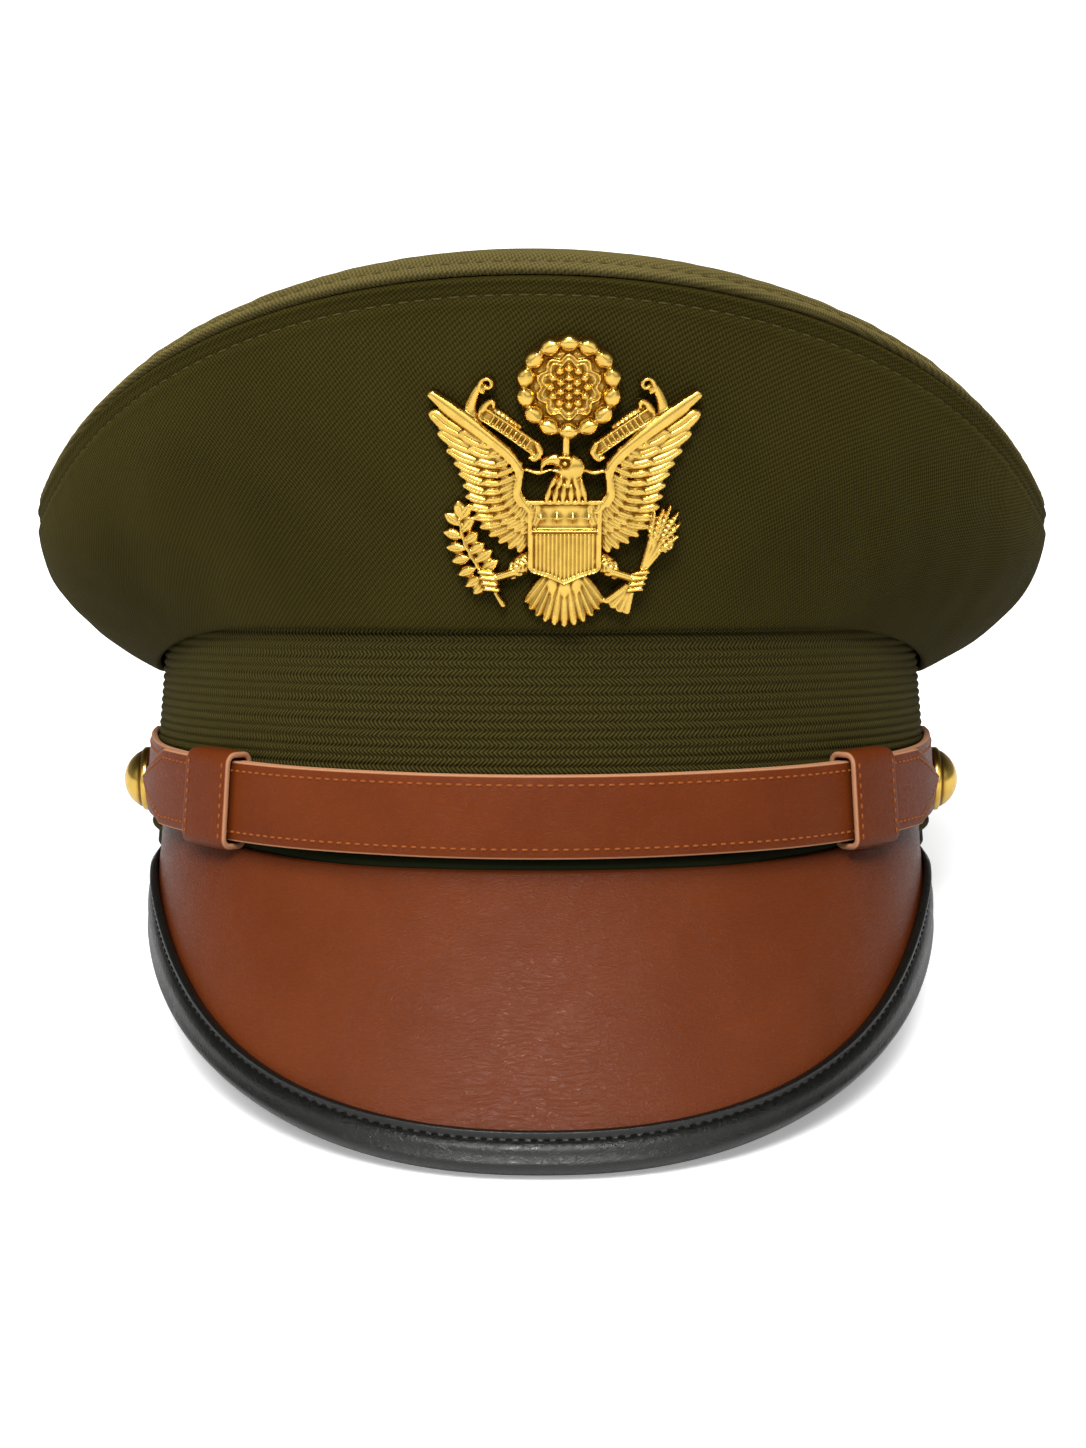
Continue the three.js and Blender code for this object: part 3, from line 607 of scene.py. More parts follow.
class Effects:
    """The shader node groups that several finishes share."""

    def __init__(self) -> None:
        """Build each group once."""
        self.weave = self.make_weave()
        self.grain = self.make_grain()
        self.mottle = self.make_mottle()

    @staticmethod
    def make_weave() -> bpy.types.NodeTree:
        """Build fine diagonal threads: two waves across each other, broken up by noise."""
        values = {"Pitch": 0.6, "Slant": 1.0, "Fold": 0.0, "Cross": 0.05}
        tree, given, end = new_group("fine_weave", values, ("Height", "Shade"))
        split = tree.add("ShaderNodeSeparateXYZ", {0: given["Vector"]}).outputs
        wander = tree.math("SUBTRACT", tree.noise(given["Vector"], 0.35)[0], 0.5)
        drift = tree.math("MULTIPLY", wander, 0.5)
        folded = tree.math("PINGPONG", split[1], given["Fold"])
        rise = tree.math("MULTIPLY", folded, given["Slant"])
        phase = tree.math("ADD", tree.math("ADD", split[0], rise), drift)
        turns = tree.math("DIVIDE", tree.math("MULTIPLY", phase, 2 * math.pi), given["Pitch"])
        rib = tree.math("MULTIPLY_ADD", tree.math("SINE", turns), 0.5, 0.5)
        against = tree.math("MULTIPLY_ADD", split[0], -0.55, split[1])
        step = tree.math("DIVIDE", tree.math("MULTIPLY", against, 5.2), given["Pitch"])
        thread = tree.math("MULTIPLY", tree.math("SINE", step), given["Cross"])
        fuzz = tree.noise(given["Vector"], 2.6, 3.0)[0]
        height = tree.math("ADD", tree.math("MULTIPLY_ADD", fuzz, 0.7, rib), thread)
        tree.fill(end, {"Height": height, "Shade": tree.spread(height, 0.3, 1.4)})
        return tree.tree

    @staticmethod
    def make_grain() -> bpy.types.NodeTree:
        """Build leather's skin: small cells and longer wrinkles, drawn out along one direction."""
        values = {"Cells": 1.2, "Wrinkles": 0.5, "Stretch": 2.5}
        tree, given, end = new_group("leather_skin", values, ("Height", "Shade"))
        split = tree.add("ShaderNodeSeparateXYZ", {0: given["Vector"]}).outputs
        up = tree.math("MULTIPLY", split[1], given["Stretch"])
        drawn = tree.add("ShaderNodeCombineXYZ", {0: split[0], 1: up, 2: split[2]}).outputs[0]
        bend = tree.vector("SCALE", {0: tree.noise(given["Vector"], 0.16)[1], 3: 7.0})
        path = tree.vector("ADD", {0: drawn, 1: bend})
        inputs = {"Vector": path, "Scale": given["Cells"]}
        cells = tree.add("ShaderNodeTexVoronoi", inputs, feature="SMOOTH_F1").outputs[0]
        wrinkles = tree.noise(path, given["Wrinkles"], 4.0, Roughness=0.62, Distortion=0.6)[0]
        crease = tree.math("ABSOLUTE", tree.math("SUBTRACT", wrinkles, 0.5))
        sharp = tree.spread(crease, 0.0, 0.16)
        height = tree.math("MULTIPLY_ADD", sharp, 0.6, tree.math("MULTIPLY", cells, 0.5))
        tree.fill(end, {"Height": height, "Shade": sharp})
        return tree.tree

    @staticmethod
    def make_mottle() -> bpy.types.NodeTree:
        """Build slow, cloudy changes of tone: broad noise with a little finer noise on it."""
        tree, given, end = new_group("cloudy_tone", {"Size": 30.0, "Contrast": 1.0}, ("Tone",))
        scale = tree.math("DIVIDE", 1.0, given["Size"])
        broad = tree.noise(given["Vector"], scale, 4.0, Roughness=0.55)[0]
        centred = tree.math("SUBTRACT", broad, 0.5)
        strong = tree.math("MULTIPLY", centred, tree.math("MULTIPLY", given["Contrast"], 2.2))
        tree.fill(end, {"Tone": tree.clamp(tree.math("ADD", strong, 0.5))})
        return tree.tree


Colour = tuple[float, float, float, float]


def srgb(red: int, green: int, blue: int) -> Colour:
    """Return the linear colour of an sRGB one, by the sRGB curve."""
    channels = np.array([red, green, blue]) / 255
    low, high = channels / 12.92, ((channels + 0.055) / 1.055) ** 2.4
    linear = np.where(channels <= 0.04045, low, high)
    return (float(linear[0]), float(linear[1]), float(linear[2]), 1.0)


class Coordinates(Enum):
    """What a finish's pattern follows."""

    SURFACE = "UV"
    OBJECT = "Object"


@dataclass(frozen=True)
class Cloth:
    """A woven finish: two tones, threads of a pitch and slant, and a soft sheen."""

    name: str
    dark: Colour
    light: Colour
    pitch: float = 0.62
    slant: float = 1.0
    fold: float = NO_FOLD
    relief: float = 0.12
    contrast: float = 0.55
    sheen: float = 0.3
    cloud: float = 34.0
    cross: float = 0.05

    def build(self, effects: Effects) -> bpy.types.Material:
        """Make the material.

        Args:
            effects: the shared node groups.

        Returns:
            The material, whose weave follows the UVs in millimetres.
        """
        material, tree, shader = new_material(self.name)
        place = tree.follow(Coordinates.SURFACE)
        sizes = {"Pitch": self.pitch, "Slant": self.slant, "Fold": self.fold, "Cross": self.cross}
        weave = tree.group(effects.weave, Vector=place, **sizes)
        mottle = tree.group(effects.mottle, Vector=place, Size=self.cloud, Contrast=0.35)
        threads = tree.math("MULTIPLY", weave["Shade"], self.contrast)
        share = tree.math("MULTIPLY_ADD", mottle["Tone"], 1 - self.contrast, threads)
        inputs = {
            "Base Color": tree.mix(share, self.dark, self.light),
            "Roughness": tree.spread(weave["Shade"], 0.0, 1.0, 0.92, 0.8),
            "Normal": tree.bump(weave["Height"], 0.9, self.relief),
            "Sheen Weight": self.sheen,
            "Sheen Roughness": 0.28,
            "Sheen Tint": (*[min(1.0, 5 * c) for c in self.light[:3]], 1.0),
            "Specular IOR Level": 0.05,
        }
        tree.fill(shader, inputs)
        return material


@dataclass(frozen=True)
class Leather:
    """A leather finish: a main tone, a darker and a paler one, a raw cut edge, grain and gloss."""

    name: str
    deep: Colour
    tone: Colour
    worn: Colour
    cut: Colour
    rough: float = 0.42
    cells: float = 1.3
    wrinkles: float = 0.45
    stretch: float = 2.2
    relief: float = 0.16
    shine: float = 0.25

    def build(self, effects: Effects) -> bpy.types.Material:
        """Make the material.

        Args:
            effects: the shared node groups.

        Returns:
            The material. The mask raw_edge paints cut edges, and the shade mask paints shade, darkening towards the
            deep tone.
        """
        material, tree, shader = new_material(self.name)
        place = tree.follow(Coordinates.SURFACE)
        sizes = {"Cells": self.cells, "Wrinkles": self.wrinkles, "Stretch": self.stretch}
        grain = tree.group(effects.grain, Vector=place, **sizes)
        mottle = tree.group(effects.mottle, Vector=place, Size=22.0, Contrast=0.9)
        edge = tree.mask("raw_edge")
        base = tree.mix(mottle["Tone"], self.tone, self.worn)
        creased = tree.mix(tree.spread(grain["Shade"], 0.0, 1.0, 0.2, 0.0), base, self.deep)
        # Painted shade: the shade mask mixes the colour towards the deep tone.
        shaded = tree.mix(tree.mask("shade"), creased, self.deep)
        smooth = tree.spread(grain["Shade"], 0.0, 1.0, self.rough + 0.14, self.rough)
        inputs = {
            "Base Color": tree.mix(edge, shaded, self.cut),
            "Roughness": tree.math("MULTIPLY_ADD", edge, 0.3, smooth),
            "Normal": tree.bump(grain["Height"], 0.8, self.relief),
            "Specular IOR Level": self.shine,
        }
        tree.fill(shader, inputs)
        return material


@dataclass(frozen=True)
class Gilding:
    """A gilt finish: bright metal on the crests, with painted shade that browns the recesses, and fine brush marks."""

    name: str
    bright: Colour
    recess: Colour
    rough: float = 0.24

    def build(self, effects: Effects) -> bpy.types.Material:
        """Make the material.

        Args:
            effects: the shared node groups.

        Returns:
            The material. The recess mask paints shade, darkening the low places of the relief.
        """
        material, tree, shader = new_material(self.name)
        millimetres = tree.vector("SCALE", {0: tree.follow(Coordinates.OBJECT), 3: 1000.0})
        mottle = tree.group(effects.mottle, Vector=millimetres, Size=2.5, Contrast=1.0)
        dull = tree.math("MULTIPLY", mottle["Tone"], 0.25)
        # Painted shade: the recess mask mixes the gilt towards the brown shade colour and dulls it.
        share = tree.math("MULTIPLY_ADD", tree.mask("recess"), 1.25, dull)
        inputs = {
            "Base Color": tree.mix(tree.clamp(share), self.bright, self.recess),
            "Roughness": tree.spread(share, 0.0, 1.0, self.rough, self.rough + 0.16),
            "Normal": tree.bump(mottle["Tone"], 0.25, 0.05),
            "Metallic": 1.0,
        }
        tree.fill(shader, inputs)
        return material


@dataclass(frozen=True)
class Thread:
    """A sewing thread: one tone, with the twist of its strands."""

    name: str
    tone: Colour
    deep: Colour

    def build(self, effects: Effects) -> bpy.types.Material:
        """Make the material, whose strands follow the UVs of each stitch.

        Args:
            effects: the shared node groups.

        Returns:
            The material.
        """
        material, tree, shader = new_material(self.name)
        place = tree.follow(Coordinates.SURFACE)
        weave = tree.group(effects.weave, Vector=place, Pitch=0.35, Slant=1.0, Fold=NO_FOLD)
        colour = tree.mix(weave["Shade"], self.deep, self.tone)
        tree.fill(shader, {"Base Color": colour, "Roughness": 0.7, "Specular IOR Level": 0.1})
        return material


def new_material(name: str) -> tuple[bpy.types.Material, Tree, bpy.types.Node]:
    """Start a material.

    Args:
        name: the material's name.

    Returns:
        The material, a Tree for its nodes and its Principled BSDF.
    """
    material = bpy.data.materials.new(name)
    material.use_nodes = True
    tree = Tree(material.node_tree)
    shader = material.node_tree.nodes["Principled BSDF"]
    return material, tree, shader


class Finish(Enum):
    """The finishes of the cap."""

    CROWN = Cloth(
        "olive_barathea", srgb(18, 14, 2), srgb(63, 56, 19),
        pitch=0.72, slant=-0.7, sheen=0.15, contrast=0.58, cross=0.4, relief=0.13,
    )
    # Painted light: a paler copy of the crown's cloth, so that the top looks lit from above.
    CROWN_TOP_PAINTED_LIGHT = Cloth(
        "olive_barathea_top_painted_light", srgb(40, 35, 16), srgb(106, 95, 54),
        pitch=0.72, slant=-0.4, sheen=0.3, contrast=0.5, cross=0.4, relief=0.12,
    )
    BRAID = Cloth(
        "olive_braid", srgb(15, 12, 3), srgb(68, 61, 26),
        pitch=0.95, slant=0.9, fold=1.75, relief=0.24, contrast=0.85, sheen=0.15, cloud=60.0,
    )
    WELT = Cloth(
        "dark_welt", srgb(8, 10, 3), srgb(26, 30, 14), pitch=0.5, relief=0.05, contrast=0.4, sheen=0.1,
    )
    RUSSET = Leather(
        "russet_leather", srgb(54, 20, 5), srgb(86, 37, 11), srgb(95, 43, 16), srgb(170, 120, 80),
        rough=0.3, cells=1.7, wrinkles=0.6, stretch=2.4, relief=0.1, shine=0.2,
    )
    STRAP = Leather(
        "russet_strap_leather", srgb(56, 20, 4), srgb(89, 37, 9), srgb(101, 45, 15), srgb(166, 118, 86),
        rough=0.34, relief=0.08, cells=2.6, wrinkles=0.9, stretch=1.4, shine=0.1,
    )
    BINDING = Leather(
        "black_binding", srgb(3, 3, 2), srgb(8, 8, 6), srgb(12, 12, 10), srgb(20, 20, 16),
        rough=0.27, cells=2.0, wrinkles=0.8, stretch=1.2, relief=0.06, shine=0.55,
    )
    GILT = Gilding("gilt_brass", (0.88, 0.58, 0.125, 1.0), (0.2, 0.085, 0.008, 1.0), 0.2)
    OLIVE_THREAD = Thread("olive_thread", srgb(80, 72, 38), srgb(40, 34, 14))
    TAN_THREAD = Thread("tan_thread", srgb(158, 88, 40), srgb(96, 46, 16))
    BLACK_THREAD = Thread("black_thread", srgb(18, 18, 14), srgb(6, 6, 4))


class Palette:
    """Builds each finish once and hands it out."""

    def __init__(self) -> None:
        """Start with the shared effects and no materials."""
        self.effects = Effects()
        self.made: dict[Finish, bpy.types.Material] = {}

    def __getitem__(self, finish: Finish) -> bpy.types.Material:
        """Return the finish's material, made the first time it is asked for."""
        if finish not in self.made:
            self.made[finish] = finish.value.build(self.effects)
        return self.made[finish]


@dataclass(frozen=True)
class CrownForm:
    """The crown's shape: its rim seam, its sides, its rolled edge and its top."""

    oval: HeadOval = HeadOval()
    wall: float = 2.0
    overlap_front: float = 3.0
    overlap_back: float = 15.0
    rim_front: float = 116.0
    rim_side: float = 115.7
    shift: float = 0.3
    fill: float = 0.96
    rim_back: float = 131.0
    front_height: float = 116.8
    side_height: float = 75.5
    back_height: float = 70.0
    droop: float = 0.6
    rake: float = 29.5
    ease: float = 5.0
    rise_front: float = 79.0
    rise_side: float = 25.0
    lean_front: float = 80.0
    lean_side: float = 103.0
    fullness: float = 0.4
    roll_front: float = 5.8
    roll_side: float = 4.5
    roll_depth: float = 9.0
    sag: float = 3.0

    @staticmethod
    def backness(bearing: Array) -> Array:
        """Return (1 - cos b) / 2: 0 at the front and 1 at the back."""
        return (1 - np.cos(bearing)) / 2

    def rim(self, bearing: Array) -> Array:
        """Find the rim seam.

        It is an oval in plan. Its height falls straight along the rake from the front, and eases
        into a level line: level + ease log(1 + exp((raked - level) / ease)) - droop sin 2b.

        Args:
            bearing: bearings in radians.

        Returns:
            The seam's points.
        """
        back = self.backness(bearing)
        y = -lerp(self.rim_front, self.rim_back, back) * np.cos(bearing)
        raked = self.front_height - math.tan(math.radians(self.rake)) * (y + self.rim_front)
        level = lerp(self.side_height, self.back_height, smoothstep(back, 0.5, 1))
        height = level + self.ease * np.logaddexp(0, (raked - level) / self.ease)
        sine = np.sin(bearing)
        x = self.rim_side * np.sign(sine) * np.abs(sine) ** self.fill + self.shift
        return np.stack([x, y, height - self.droop * np.sin(2 * bearing)], -1)

    def ends(self, bearing: Array) -> dict[str, Array]:
        """Find where the crown's side starts on the braid, and its directions there and at the rim.

        Args:
            bearing: bearings in radians.

        Returns:
            The foot, rim, level outward direction, and directions leaving the foot and
            arriving at the rim.
        """
        front = np.maximum(0, np.cos(bearing)) ** 1.5
        rise = np.radians(lerp(self.rise_side, self.rise_front, front))
        lean = np.radians(lerp(self.lean_side, self.lean_front, front))
        overlap = lerp(
            self.overlap_front, self.overlap_back, smoothstep(self.backness(bearing), 0.1, 0.55)
        )
        z = self.oval.height - overlap
        offset = self.oval.braid(z) + self.oval.clearance + self.wall * np.sin(rise)
        foot, rim = self.oval.point(bearing, offset, z), self.rim(bearing)
        out = unit((rim - foot) * np.array([1, 1, 0]))
        up = np.array([0, 0, 1.0])

        def towards(angle: Array) -> Array:
            """Return out cos + up sin."""
            return out * np.cos(angle)[:, None] + up * np.sin(angle)[:, None]

        return {"foot": foot, "rim": rim, "out": out, "leaving": towards(rise), "arriving": towards(lean)}

    def side(self, bearing: Array, steps: int = 160) -> Array:
        """Carry the crown's side from the rim down to the braid.

        It is a cubic Bezier curve from the foot to the rim, whose handles are fullness times the
        distance between them.

        Args:
            bearing: bearings in radians.
            steps: points on each course.

        Returns:
            Courses from the rim to the foot, as (bearings, steps, 3).
        """
        ends = self.ends(bearing)
        foot, rim = ends["foot"], ends["rim"]
        reach = self.fullness * np.linalg.norm(rim - foot, axis=-1, keepdims=True)
        handles = [rim, rim - ends["arriving"] * reach, foot + ends["leaving"] * reach, foot]
        t = np.linspace(0, 1, steps)
        weights = [(1 - t) ** 3, 3 * t * (1 - t) ** 2, 3 * t * t * (1 - t), t**3]
        return sum(h[:, None, :] * w[None, :, None] for h, w in zip(handles, weights))

    def roll(self, bearing: Array, angle: Array) -> Array:
        """Round the edge over from the seam: out by -depth (1 - cos a), up by height sin a."""
        ends = self.ends(bearing)
        seam = ends["rim"] + ends["arriving"] * self.oval.clearance
        height = lerp(self.roll_front, self.roll_side, np.minimum(1, 2 * self.backness(bearing)))
        inwards = ends["out"][:, None, :] * (self.roll_depth * (1 - np.cos(angle)))[None, :, None]
        points = seam[:, None, :] - inwards
        points[..., 2] = seam[:, None, 2] + height[:, None] * np.sin(angle)[None, :]
        return points

    def top(self, bearing: Array, shares: Array) -> Array:
        """Stretch the top over the roll's highest line.

        The height is the sum of c_n r^n cos n b, where c_n are the line's first eight cosine
        terms and r is the share of the way out, less sag (1 - r^2).

        Args:
            bearing: bearings in radians, even all round.
            shares: shares of the way out from the middle.

        Returns:
            The points, as (bearings, shares, 3).
        """
        ridge = self.roll(bearing, np.array([np.pi / 2]))[:, 0]
        order = np.arange(8)
        waves = np.cos(order[:, None] * bearing[None, :])
        terms = (waves * ridge[:, 2]).mean(axis=1) * np.where(order, 2, 1)
        powers = shares[None, :] ** order[:, None]
        height = np.einsum("n,nb,ns->bs", terms, waves, powers) - self.sag * (1 - shares**2)
        middle = (self.rim_back - self.rim_front) / 2
        x = ridge[:, 0, None] * shares
        return np.stack([x, lerp(middle, ridge[:, 1, None], shares), height], axis=-1)


@dataclass(frozen=True)
class Crown:
    """The cloth crown: its side, its top, the groove of the rim seam and the rows of stitching."""

    form: CrownForm = CrownForm()
    bearings: int = 420
    stitch_drop: float = 3.6
    stitch_rise: float = 3.0
    lip: float = 0.6
    groove: float = 0.75
    hold: float = 1.2
    side_sewing: Sewing = Sewing(3.3, 2.5, 0.42, 0.3, 0.12)
    top_sewing: Sewing = Sewing(3.3, 2.4, 0.4, 0.3, 0.1)

    @staticmethod
    def near_rim(reach: float = 6.4) -> Array:
        """Return distances from the seam, close together where the seam and stitching are."""
        return np.concatenate([np.linspace(0, 1.6, 9)[:-1], np.linspace(1.6, reach, 17)])

    def stops(self, length: Array, near: Array, count: int) -> Array:
        """Share out the places along each course: those near the seam, then even ones.

        Args:
            length: the length of each course.
            near: the distances near the seam.
            count: how many even places there are from the last of those to the end.

        Returns:
            Distances from the seam, as (courses, places).
        """
        even = near[-1] + (length[:, None] - near[-1]) * np.linspace(0, 1, count)[1:]
        return np.concatenate([np.tile(near, (self.bearings, 1)), even], axis=1)

    def leaning(self, normals: Array, bearing: Array, distance: Array) -> Array:
        """Turn the normals level near the seam, by the share exp(-distance / hold)."""
        out = self.form.ends(bearing)["out"][:, None, :]
        return unit(lerp(normals, out, np.exp(-distance / self.hold)[..., None]))

    def relief(self, distance: Array, girth: Array, stitching: float) -> Array:
        """Return how far the cloth stands out near its seam.

        A lip 1 mm from the seam, a groove at the seam, a furrow under the stitching and small
        puckers between the two, each a bell curve of the distance from the seam.

        Args:
            distance: distance from the seam.
            girth: distance round the crown.
            stitching: where the row of stitching runs.

        Returns:
            The outward move, in millimetres.
        """
        lip = self.lip * bell(distance, 1.0, 0.75) - self.groove * bell(distance, 0.0, 0.34)
        furrow = -0.42 * bell(distance, stitching, 0.5)
        swell = 0.16 * bell(distance, stitching + 1.6, 0.9)
        pucker = 0.12 * ripple(girth, 7.5, 2.0) * bell(distance, stitching - 1.0, 1.3)
        pull = 0.16 * ripple(girth, 16.0, 5.0) * bell(distance, stitching + 2.5, 3.0)
        return lip + furrow + swell + pucker + pull

    def side_shell(self) -> tuple[Shell, Shell]:
        """Make the crown's side and its row of stitching.

        Returns:
            The side, a wall of cloth closed all round, and the stitches.
        """
        bearing, form = around(self.bearings), self.form
        courses = form.side(bearing)
        length = run_lengths(np.swapaxes(courses, 0, 1))[-1] - 1.0
        near = self.near_rim()
        distance = self.stops(length, near, 34)
        points = walk(courses, distance)
        normals = self.leaning(-grid_normals(points, close_u=True), bearing, distance)
        girth = run_lengths(courses[:, 0], closed=True)
        sag = smoothstep(distance, 6, 24) * smoothstep(length[:, None] - distance, 0, 16)
        cloud = 0.5 * ripple(girth[:-1, None] + 0.7 * distance, 88.0, 1.3)
        cloud = cloud + 0.35 * ripple(girth[:-1, None] - 1.1 * distance, 51.0, 3.1)
        lift = self.relief(distance, girth[:-1, None], self.stitch_drop) + sag * cloud
        outer = points + normals * lift[..., None]
        picked = np.array([0, 8, 16, 24, 30, 36, 42, 48, 57])
        inner = points[:, picked] - normals[:, picked] * form.wall
        down = unit(outer[:, -1] - outer[:, -2])
        middle = (outer[:, -1] + inner[:, -1]) / 2
        half = (outer[:, -1] - inner[:, -1]) / 2
        turn = np.radians([35, 70, 110, 145])
        fold = (
            middle[:, None]
            + half[:, None] * np.cos(turn)[:, None]
            + down[:, None] * (form.wall / 2 * np.sin(turn))[:, None]
        )
        loop = np.concatenate([outer, fold, inner[:, ::-1]], axis=1)
        runs = run_lengths(np.swapaxes(loop, 0, 1), closed=True).mean(axis=1)
        uv = plain_uv(girth[:, None], -runs[None, :])
        back = 0.5 * bell(np.abs(bearing[:, None]), np.pi, 0.006)
        loop[:, : outer.shape[1]] -= normals * (back * np.ones_like(distance))[..., None]
        side = grid_shell(loop, uv, close_u=True, close_v=True, flip=True)
        row = np.abs(near - self.stitch_drop).argmin()
        stitches = stitch_line(outer[:, row], normals[:, row], self.side_sewing, closed=True)
        return side, stitches

    def top_shell(self) -> tuple[Shell, Shell]:
        """Make the crown's top and its row of stitching.

        Returns:
            The top, a closed sheet whose two poles are its middle, and the stitches.
        """
        bearing, form = around(self.bearings), self.form
        roll = form.roll(bearing, np.linspace(0, np.pi / 2, 48))
        field_points = form.top(bearing, np.linspace(1, 0, 80)[1:])
        courses = np.concatenate([roll, field_points], axis=1)
        length = run_lengths(np.swapaxes(courses, 0, 1))[-1]
        near = self.near_rim(8.0)
        distance = self.stops(length, near, 44)
        points = walk(courses, distance)
        points[:, -1] = courses[:, -1]
        normals = grid_normals(points, close_u=True)
        normals[:, -1] = (0, 0, 1)
        normals = self.leaning(normals, bearing, distance)
        girth = run_lengths(courses[:, 0], closed=True)
        lift = self.relief(distance, girth[:-1, None], self.stitch_rise)
        sag = smoothstep(distance, 8, 40)
        x, y = points[..., 0], points[..., 1]
        cloud = 0.7 * ripple(x + 0.5 * y, 140.0, 0.7) + 0.5 * ripple(y - 0.4 * x, 90.0, 2.9)
        outer = points + normals * (lift + sag * cloud)[..., None]
        outer[:, -1] = outer[:1, -1]
        picked = np.array([0, 8, 16, 24, 30, 38, 46, 54, 60, distance.shape[1] - 1])
        inner = points[:, picked] - normals[:, picked] * form.wall
        inner[:, -1] = inner[:1, -1]
        sheet = np.concatenate([inner[:, ::-1], outer], axis=1)
        radius = length[:, None] - distance
        radius = np.concatenate([radius[:, picked][:, ::-1], radius], axis=1)
        radius = np.concatenate([radius, radius[:1]])
        turn = np.append(bearing, np.pi)[:, None]
        uv = plain_uv(radius * np.sin(turn), -radius * np.cos(turn))
        top = grid_shell(sheet, uv, close_u=True, poles=(True, True))
        row = np.abs(near - self.stitch_rise).argmin()
        stitches = stitch_line(outer[:, row], normals[:, row], self.top_sewing, closed=True)
        return top, stitches

    def build(self, room: Workroom, palette: Palette) -> None:
        """Make the crown's pieces.

        Args:
            room: makes pieces.
            palette: hands out finishes.
        """
        side, side_row = self.side_shell()
        top, top_row = self.top_shell()
        cloth, thread = palette[Finish.CROWN], palette[Finish.OLIVE_THREAD]
        room.piece("crown_side_cloth", side, cloth, ["crown_side"])
        room.piece("crown_top_cloth", top, palette[Finish.CROWN_TOP_PAINTED_LIGHT], ["crown_top"])
        room.piece("crown_stitching", Shell.joined([side_row, top_row]), thread)


@dataclass(frozen=True)
class Band:
    """The band, the ribbed braid round it and the welt at its foot."""

    oval: HeadOval = HeadOval()
    bearings: int = 440
    ribs: int = 28
    steps: int = 6
    rib_depth: float = 0.5
    welt_height: float = 3.4
    welt_depth: float = 2.8
    braid_foot: float = 4.3

    def ring(self, offsets: Array, heights: Array, bearings: int) -> Shell:
        """Carry a closed section round the oval.

        Args:
            offsets: how far each section point stands off the oval.
            heights: the height of each section point.
            bearings: how many places round the oval.

        Returns:
            The ring, with UVs that run round it and round its section.
        """
        bearing = around(bearings)
        points = self.oval.point(bearing[:, None], offsets[None, :], heights[None, :])
        girth = run_lengths(points[:, 0], closed=True)
        runs = run_lengths(np.swapaxes(points[:1], 0, 1), closed=True)[:, 0]
        uv = plain_uv(girth[:, None], runs[None, :])
        return grid_shell(points, uv, close_u=True, close_v=True)

    def band_shell(self) -> Shell:
        """Make the band: a wall whose upper and lower rims are rounded by 0.5 mm."""
        oval, soft = self.oval, 0.5
        z = np.concatenate(
            [[soft * 0.3], np.linspace(soft, oval.height - soft, 12), [oval.height - soft * 0.3]]
        )
        outer = oval.face(z) - np.where((z < soft) | (z > oval.height - soft), 0.25, 0)
        inner = oval.inside(z) + np.where((z < soft) | (z > oval.height - soft), 0.25, 0)
        rim = np.array([oval.height]), np.array([0.0])
        offsets = np.concatenate(
            [outer, (oval.face(rim[0]) + oval.inside(rim[0])) / 2, inner[::-1], [oval.wall / 2]]
        )
        heights = np.concatenate([z, rim[0], z[::-1], rim[1]])
        return self.ring(offsets, heights, 240)

    def braid_shell(self) -> Shell:
        """Make the braid: ribs whose section is a half round, |sin| to the power 0.7."""
        oval = self.oval
        foot = self.braid_foot
        count = self.ribs * self.steps
        z = np.linspace(foot, oval.height, count + 1)
        phase = np.arange(count + 1) / self.steps
        bulge = np.abs(np.sin(np.pi * phase)) ** 0.7
        outer = oval.braid(z) - self.rib_depth * (1 - bulge)
        inner_z = np.linspace(oval.height, foot, 8)
        inner = oval.face(inner_z) + oval.clearance
        return self.ring(np.concatenate([outer, inner]), np.concatenate([z, inner_z]), self.bearings)

    def welt_shell(self) -> Shell:
        """Make the welt, an oval roll over the braid's foot.

        It follows the line that the peak is sewn to, and lies flat under the ends of the straps.
        """
        bearing = around(360)[:, None]
        turn = np.linspace(-np.pi / 2, 3 * np.pi / 2, 18, endpoint=False)[None, :]
        angle = np.degrees(np.abs(bearing))
        flat = smoothstep(angle, 44, 58) * (1 - smoothstep(angle, 98, 112))
        depth = lerp(self.welt_depth, 1.1, flat)
        z = self.oval.welt_foot(bearing) + self.welt_height / 2 * (1 + np.sin(turn))
        offsets = self.oval.face(z) + self.oval.clearance + depth / 2 * (1 + np.cos(turn))
        points = self.oval.point(bearing, offsets, z)
        girth = run_lengths(points[:, 0], closed=True)
        runs = run_lengths(np.swapaxes(points[:1], 0, 1), closed=True)[:, 0]
        return grid_shell(points, plain_uv(girth[:, None], runs[None, :]), close_u=True, close_v=True)

    def build(self, room: Workroom, palette: Palette) -> None:
        """Make the band's pieces.

        Args:
            room: makes pieces.
            palette: hands out finishes.
        """
        room.piece("band_lining", self.band_shell(), palette[Finish.WELT], ["band"])
        room.piece("ribbed_braid", self.braid_shell(), palette[Finish.BRAID], ["braid_band"])
        room.piece("welt_roll", self.welt_shell(), palette[Finish.WELT], ["band_welt"])


